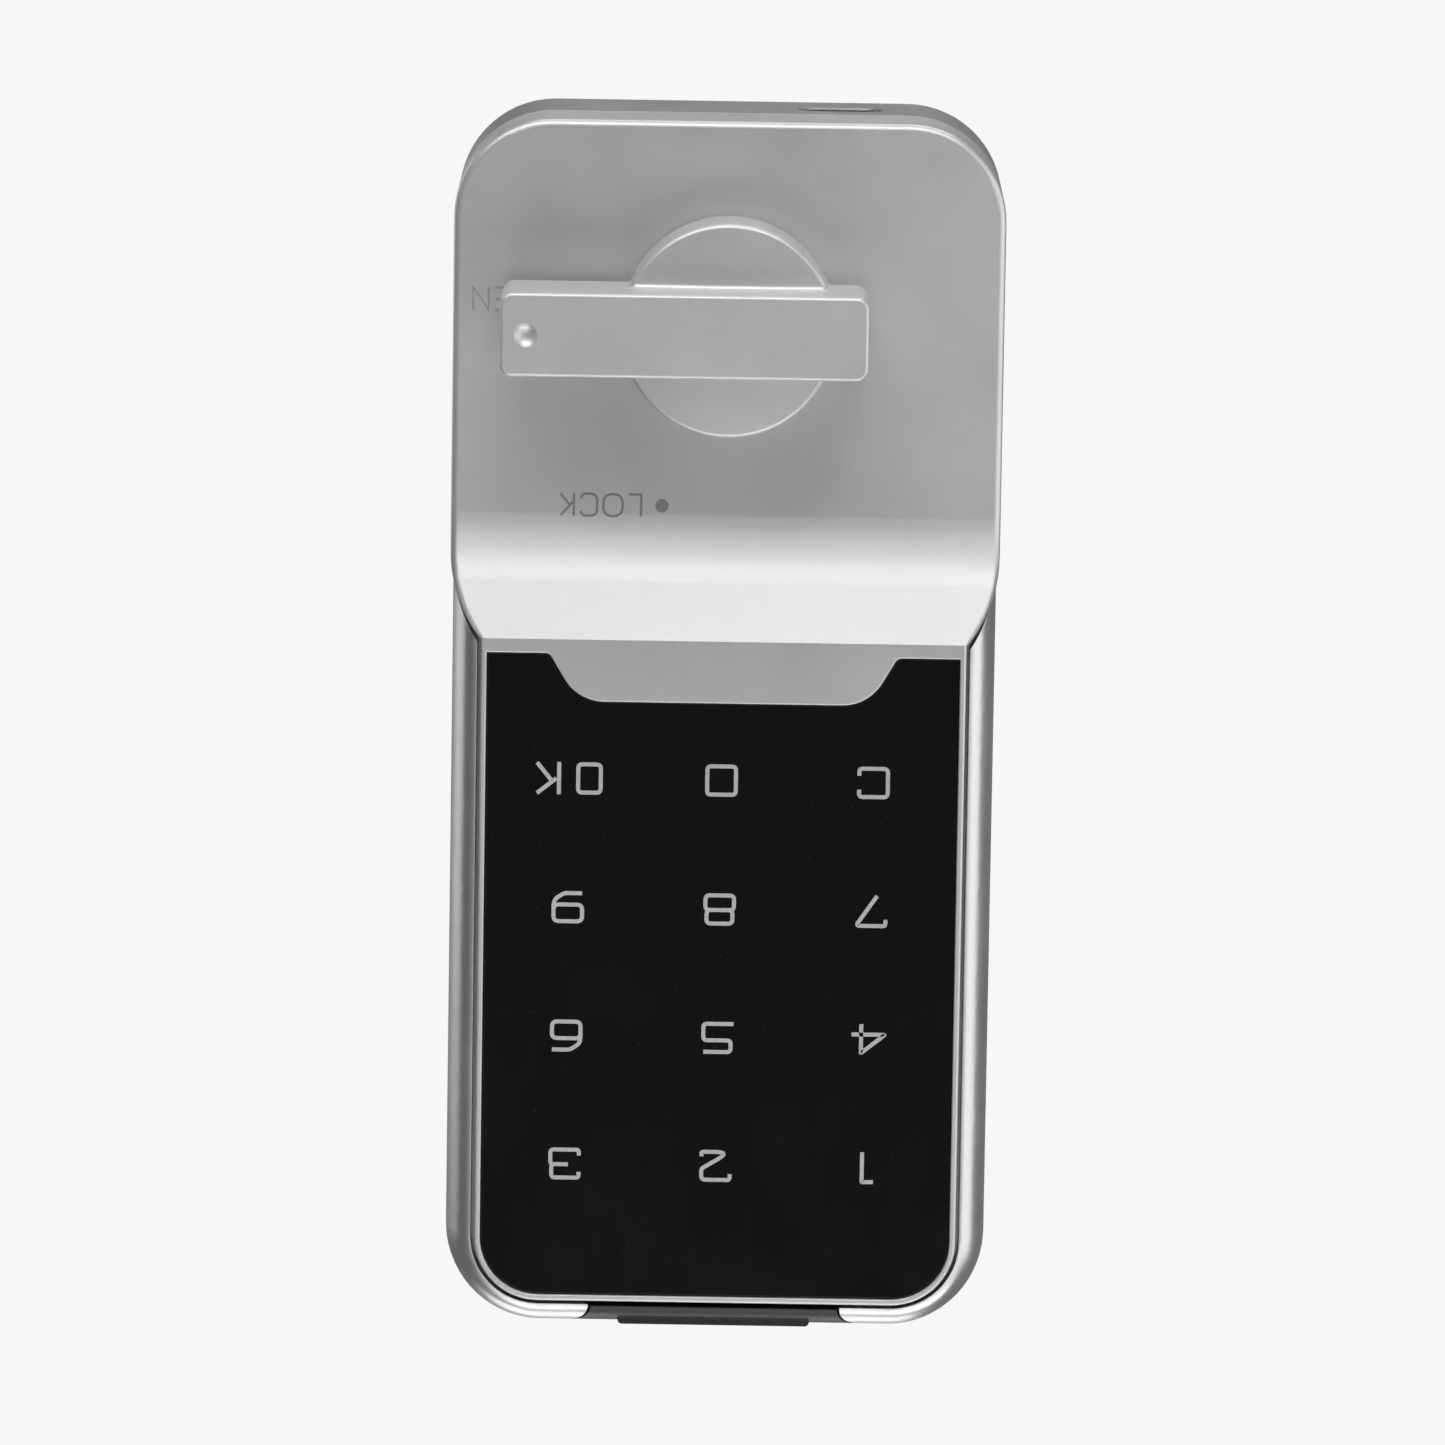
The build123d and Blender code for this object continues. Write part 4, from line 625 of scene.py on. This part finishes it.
def label(name, text, left_x, right_x, mid_z, dot_x):
    """A word between two x positions, with a round index dot before it."""
    total = sum(LETTERS[c][0] for c in text) + LETTER_GAP * (len(text) - 1)
    unit_x = (right_x - left_x) / total
    strokes = []
    at = 0.0
    for character in text:
        advance, parts = LETTERS[character]
        for points, radius, closed in parts:
            spot = [((at + x) * unit_x, (z - 0.5) * LABEL_H) for x, z in points]
            strokes.append((spot, radius * LABEL_H, closed))
        at += advance + LETTER_GAP
    place = on_face(left_x, mid_z, PLATEAU_H)
    printed(f"label_{name}", strokes, LABEL_STROKE, place, LABEL_INK, "lock")
    turns = [2 * pi * k / DOT_SIDES for k in range(DOT_SIDES)]
    spot = on_face(dot_x, mid_z, PLATEAU_H)
    vertices = [spot(DOT_R * cos(a), DOT_R * sin(a), h) for h in (-PRINT_T, PRINT_T) for a in turns]
    faces = [tuple(range(DOT_SIDES)), tuple(range(DOT_SIDES, 2 * DOT_SIDES))]
    for k in range(DOT_SIDES):
        n = (k + 1) % DOT_SIDES
        faces.append((k, n, DOT_SIDES + n, DOT_SIDES + k))
    piece(f"dot_{name}", vertices, faces, LABEL_INK, "lock")


# Left and right end of the word, its height up the lock, and the middle of its dot.
label("lock", "LOCK", 9.55, 18.65, 21.0, 7.2)
label("open", "OPEN", 19.65, 28.75, -2.2, 17.2)

# ------------------------------------------------------------------ threaded barrel
SEGMENTS = 96
THREAD_PITCH = 1.0
CREST_R = 7.97
ROOT_R = 7.4
BORE_R = 4.06
# The share of a thread's half pitch that is flat, at its crest and again at its root.
THREAD_FLAT = 0.12
RUN_IN = 0.5
RUN_OUT = 0.9
FLANGE_R = 11.0
REGISTER_R = 8.5
GROOVE_R = 7.9
THREAD_START = 1.5
THREAD_END = 15.9
THREAD_STEP = 0.1
BARREL_LOW_Y = box_mm("barrel")[0][1]
BARREL_END_Y = box_mm("barrel")[1][1]
FLANGE_BACK_Y = -1.5


def thread_radius(y, angle):
    """Radius of the barrel's thread, which runs out at both ends."""
    turn = (y / THREAD_PITCH - angle / (2 * pi)) % 1.0
    tooth = 1 - abs(2 * turn - 1)
    shape = min(max((tooth - THREAD_FLAT) / (1 - 2 * THREAD_FLAT), 0.0), 1.0)
    fade = min((y - THREAD_START) / RUN_IN, (THREAD_END - y) / RUN_OUT, 1.0)
    return ROOT_R + (CREST_R - ROOT_R) * shape * max(fade, 0.0)


def revolved(name, rings, material, body):
    """A ring-shaped solid about the y axis. Each ring is (y, radius or a function of the angle)."""
    vertices = []
    for y, radius in rings:
        for k in range(SEGMENTS):
            a = 2 * pi * k / SEGMENTS
            r = radius(a) if callable(radius) else radius
            vertices.append((r * cos(a), y, r * sin(a)))
    faces = []
    for i in range(len(rings)):
        a = i * SEGMENTS
        b = ((i + 1) % len(rings)) * SEGMENTS
        for k in range(SEGMENTS):
            n = (k + 1) % SEGMENTS
            faces.append((a + k, a + n, b + n, b + k))
    made = piece(name, vertices, faces, material, body, smooth=True)
    made.data.set_sharp_from_angle(angle=radians(35))
    return made


def threaded_barrel():
    """Rings of the barrel: flange, register, groove at the door's face, thread, end and bore."""
    flange = [(BARREL_LOW_Y, BORE_R), (BARREL_LOW_Y, FLANGE_R - 0.2), (BARREL_LOW_Y + 0.2, FLANGE_R),
              (FLANGE_BACK_Y - 0.2, FLANGE_R), (FLANGE_BACK_Y, FLANGE_R - 0.2)]
    register = [(FLANGE_BACK_Y, REGISTER_R), (-0.35, REGISTER_R), (-0.3, REGISTER_R - 0.05),
                (-0.3, GROOVE_R), (0.0, GROOVE_R), (0.0, REGISTER_R - 0.1), (0.1, REGISTER_R),
                (THREAD_START - 0.1, REGISTER_R), (THREAD_START, REGISTER_R - 0.1)]
    count = int((THREAD_END - THREAD_START) / THREAD_STEP) + 1
    rows = [THREAD_START + THREAD_STEP * i for i in range(count)]
    thread = [(y, lambda a, y=y: thread_radius(y, a)) for y in rows]
    end = [(BARREL_END_Y - 0.05, ROOT_R - 0.1), (BARREL_END_Y, ROOT_R - 0.2),
           (BARREL_END_Y, BORE_R + 0.24), (BARREL_END_Y - 0.15, BORE_R)]
    return flange + register + thread + end


barrel = revolved("barrel_threaded", threaded_barrel(), ZINC_TURNED, "lock")
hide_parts("barrel")

# ----------------------------------------------------------------- battery springs
SPRING_LOW_Z = 110.4
SPRING_TOP_Z = 112.85
SPRING_TURNS = 3.25
SPRING_WIRE_R = 0.24
SPRING_NARROW_R = 1.7
SPRING_GROWTH = 1.35
# The share of a spring's wire that lies flat, at each end.
SPRING_FLAT = 0.12
SPRING_STEPS = 96
for number, x in enumerate(CELL_X, start=1):
    coil = []
    for i in range(SPRING_STEPS + 1):
        t = i / SPRING_STEPS
        a = 2 * pi * SPRING_TURNS * t
        rise = min(max((t - SPRING_FLAT) / (1 - 2 * SPRING_FLAT), 0.0), 1.0)
        r = SPRING_NARROW_R + SPRING_GROWTH * t
        z = SPRING_LOW_Z + (SPRING_TOP_Z - SPRING_LOW_Z) * rise
        coil.append(Vector((x + r * cos(a), -CELL_H + r * sin(a), z)))
    spring = sweep(f"cell_spring_{number}", coil, SPRING_WIRE_R, FINISHES["contact"], "drawer")
    if number == 1:
        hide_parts("contact_springs")


# -------------------------------------------------------------- marks on the cells
def on_cell(x, mid_z, turned_over):
    """Wraps marks round a cell's front, upside down on the cells that lie the other way."""
    sign = -1 if turned_over else 1

    def place(u, v, height):
        a = sign * u / CELL_R
        r = CELL_R + height
        return (x + r * sin(a), -(CELL_H + r * cos(a)), mid_z + sign * v)

    return place


MARK_HALF = 1.4
MARK_STROKE = 0.6
PLUS_FROM_NUB = 7.5
MINUS_FROM_BASE = 5.5
# The stroke across is cut into short runs, so that it follows the round cell.
ACROSS = [(MARK_HALF * i / 7, 0) for i in range(-7, 8)]
MINUS = [(ACROSS, 0, False)]
PLUS = [(ACROSS, 0, False), ([(0, -MARK_HALF), (0, MARK_HALF)], 0, False)]
for number, x in enumerate(CELL_X, start=1):
    over = number != 2
    near_nub = CELL_LOW_Z + PLUS_FROM_NUB if over else CELL_TOP_Z - PLUS_FROM_NUB
    near_base = CELL_TOP_Z - MINUS_FROM_BASE if over else CELL_LOW_Z + MINUS_FROM_BASE
    plus_at = on_cell(x, near_nub, over)
    minus_at = on_cell(x, near_base, over)
    printed(f"cell_plus_{number}", PLUS, MARK_STROKE, plus_at, LABEL_INK, "drawer")
    printed(f"cell_minus_{number}", MINUS, MARK_STROKE, minus_at, CELL_INK, "drawer")

# ------------------------------------------------------- socket contacts, motor wires
tongue_low, tongue_high = box_mm("usb_tongue")
USB_X = (tongue_low[0] + tongue_high[0]) / 2
USB_H = -(tongue_low[1] + tongue_high[1]) / 2
TONGUE_HALF_T = (tongue_high[1] - tongue_low[1]) / 2
PAD_COUNT = 12
PAD_PITCH = 0.5
PAD_HALF_W = 0.14
PAD_T = 0.03
PAD_ENDS_Z = (-20.9, -17.4)
pad_vertices = []
pad_faces = []
for sign in (-1, 1):
    for k in range(PAD_COUNT):
        x = USB_X + (k - (PAD_COUNT - 1) / 2) * PAD_PITCH
        left = x - PAD_HALF_W
        right = x + PAD_HALF_W
        low = USB_H + sign * TONGUE_HALF_T
        high = USB_H + sign * (TONGUE_HALF_T + PAD_T)
        base = len(pad_vertices)
        for z in PAD_ENDS_Z:
            pad_vertices += [(left, -low, z), (right, -low, z), (right, -high, z), (left, -high, z)]
        pad_faces += [(base, base + 1, base + 2, base + 3), (base + 4, base + 5, base + 6, base + 7)]
        for n in range(4):
            m = (n + 1) % 4
            pad_faces.append((base + n, base + m, base + 4 + m, base + 4 + n))
GOLD = rolled("gold_plating", 0.6, 0.22, (6.0, 6.0, 6.0), 0.28)
piece("usb_contacts", pad_vertices, pad_faces, GOLD, "lock")

RED_WIRE = moulded("wire_red", 0.12, 0.35, 1.5, 0.006, 0.85)
BLACK_WIRE = moulded("wire_black", 0.02, 0.35, 1.5, 0.006)
WIRE_X = 0.9
WIRE_R = 0.35
WIRE_STEPS = 16
# From the end of the motor up and back into the connector, as (y, z) controls of one curve.
WIRE_CONTROLS = ((-10.0, box_mm("motor_can")[1][2]), (-10.0, 41.5), (-9.6, 43.6), (-7.2, 43.8))
for name, x, finish in (("motor_wire_red", WIRE_X, RED_WIRE), ("motor_wire_black", -WIRE_X, BLACK_WIRE)):
    ends = [Vector((x, y, z)) for y, z in WIRE_CONTROLS]
    path = []
    for i in range(WIRE_STEPS + 1):
        t = i / WIRE_STEPS
        path.append(ends[0] * (1 - t) ** 3 + ends[1] * 3 * t * (1 - t) ** 2
                    + ends[2] * 3 * t**2 * (1 - t) + ends[3] * t**3)
    sweep(name, path, WIRE_R, finish, "lock", sides=10)

# -------------------------------------------------------------------------- studio
# The studio is in metres.
CENTRE = Vector((0.0, -0.012, 0.0475))
VIEW_ELEVATION = -9.0
VIEW_ROLL = 180.9
VIEW_DISTANCE = 1.2
FIELD = 0.165
SENSOR = 36.0
CLIP_START = 0.05
CLIP_END = 50
FLOOR_Z = -1.45
FLOOR_HALF = 12.0
FLOOR_GLOW = 0.82
AMBIENT = 0.12
BACKDROP = 0.93

FORWARD = Vector((0, cos(radians(VIEW_ELEVATION)), -sin(radians(VIEW_ELEVATION))))
camera_data = bpy.data.cameras.new("camera")
camera_data.sensor_width = SENSOR
camera_data.lens = SENSOR * VIEW_DISTANCE / FIELD
camera_data.clip_start = CLIP_START
camera_data.clip_end = CLIP_END
camera = bpy.data.objects.new("camera", camera_data)
bpy.context.scene.collection.objects.link(camera)
camera.location = CENTRE - FORWARD * VIEW_DISTANCE
camera.rotation_mode = "QUATERNION"
roll = Quaternion((0, 0, 1), radians(VIEW_ROLL))
camera.rotation_quaternion = FORWARD.to_track_quat("-Z", "Y") @ roll
bpy.context.scene.camera = camera
bpy.context.scene.view_settings.view_transform = "Standard"


def softbox(name, azimuth, elevation, distance, width, height, radiance, diffuse=True, glossy=True):
    """A rectangular lamp that faces the lock. Azimuth 0 is in front and positive to the right.

    diffuse and glossy say whether it lights surfaces and whether it shows in their reflections.
    """
    a, e = radians(azimuth), radians(elevation)
    away = Vector((sin(a) * cos(e), -cos(a) * cos(e), sin(e)))
    lamp = bpy.data.lights.new(name, "AREA")
    lamp.shape = "RECTANGLE"
    lamp.size = width
    lamp.size_y = height
    lamp.energy = radiance * pi * width * height
    holder = bpy.data.objects.new(name, lamp)
    bpy.context.scene.collection.objects.link(holder)
    holder.location = CENTRE + away * distance
    holder.rotation_mode = "QUATERNION"
    holder.rotation_quaternion = (-away).to_track_quat("-Z", "Y")
    holder.visible_camera = False
    holder.visible_diffuse = diffuse
    holder.visible_glossy = glossy


softbox("overhead", -22, 62, 0.95, 1.2, 0.55, 2.4)
softbox("overhead_low", -10, 27, 1.1, 1.2, 0.36, 1.3)
softbox("left", -70, 0, 1.0, 1.6, 1.1, 1.25, diffuse=False)
softbox("key_below", 12, -60, 1.0, 0.9, 0.45, 7.6, glossy=False)
softbox("glow_below", 8, -60, 1.0, 1.3, 0.6, 2.5, diffuse=False)
softbox("behind_high", 165, 63, 1.2, 0.9, 0.7, 1.8)
softbox("behind_low", -165, -58, 1.2, 0.9, 0.7, 1.6)
softbox("behind_right", 130, -8, 1.2, 0.8, 0.9, 0.9)

world = bpy.data.worlds.new("studio")
bpy.context.scene.world = world
world.use_nodes = True
sky = world.node_tree.nodes["Background"]
sky.inputs["Color"].default_value = (1, 1, 1, 1)
lit = world.node_tree.nodes.new("ShaderNodeMix")
lit.inputs[2].default_value = AMBIENT
lit.inputs[3].default_value = BACKDROP
paths = world.node_tree.nodes.new("ShaderNodeLightPath")
world.node_tree.links.new(paths.outputs["Is Camera Ray"], lit.inputs[0])
world.node_tree.links.new(lit.outputs[0], sky.inputs["Strength"])

floor_mesh = bpy.data.meshes.new("floor")
corners = ((-1, -1), (1, -1), (1, 1), (-1, 1))
floor_mesh.from_pydata([(FLOOR_HALF * x, FLOOR_HALF * y, FLOOR_Z) for x, y in corners], [], [(0, 1, 2, 3)])
floor = bpy.data.objects.new("floor", floor_mesh)
bpy.context.scene.collection.objects.link(floor)
paper = Finish("floor_paper", grey(0.82), 0.9, soften_mm=0)
mottle = paper.noise(0.002, 2.0)
paper.put("Base Color", paper.blend(paper.span(mottle, 0, 1), grey(0.8), grey(0.84)))
paper.put("Emission Color", (1, 1, 1, 1))
paper.put("Emission Strength", FLOOR_GLOW)
floor_mesh.materials.append(paper.material)
floor.visible_glossy = False
floor.visible_diffuse = False
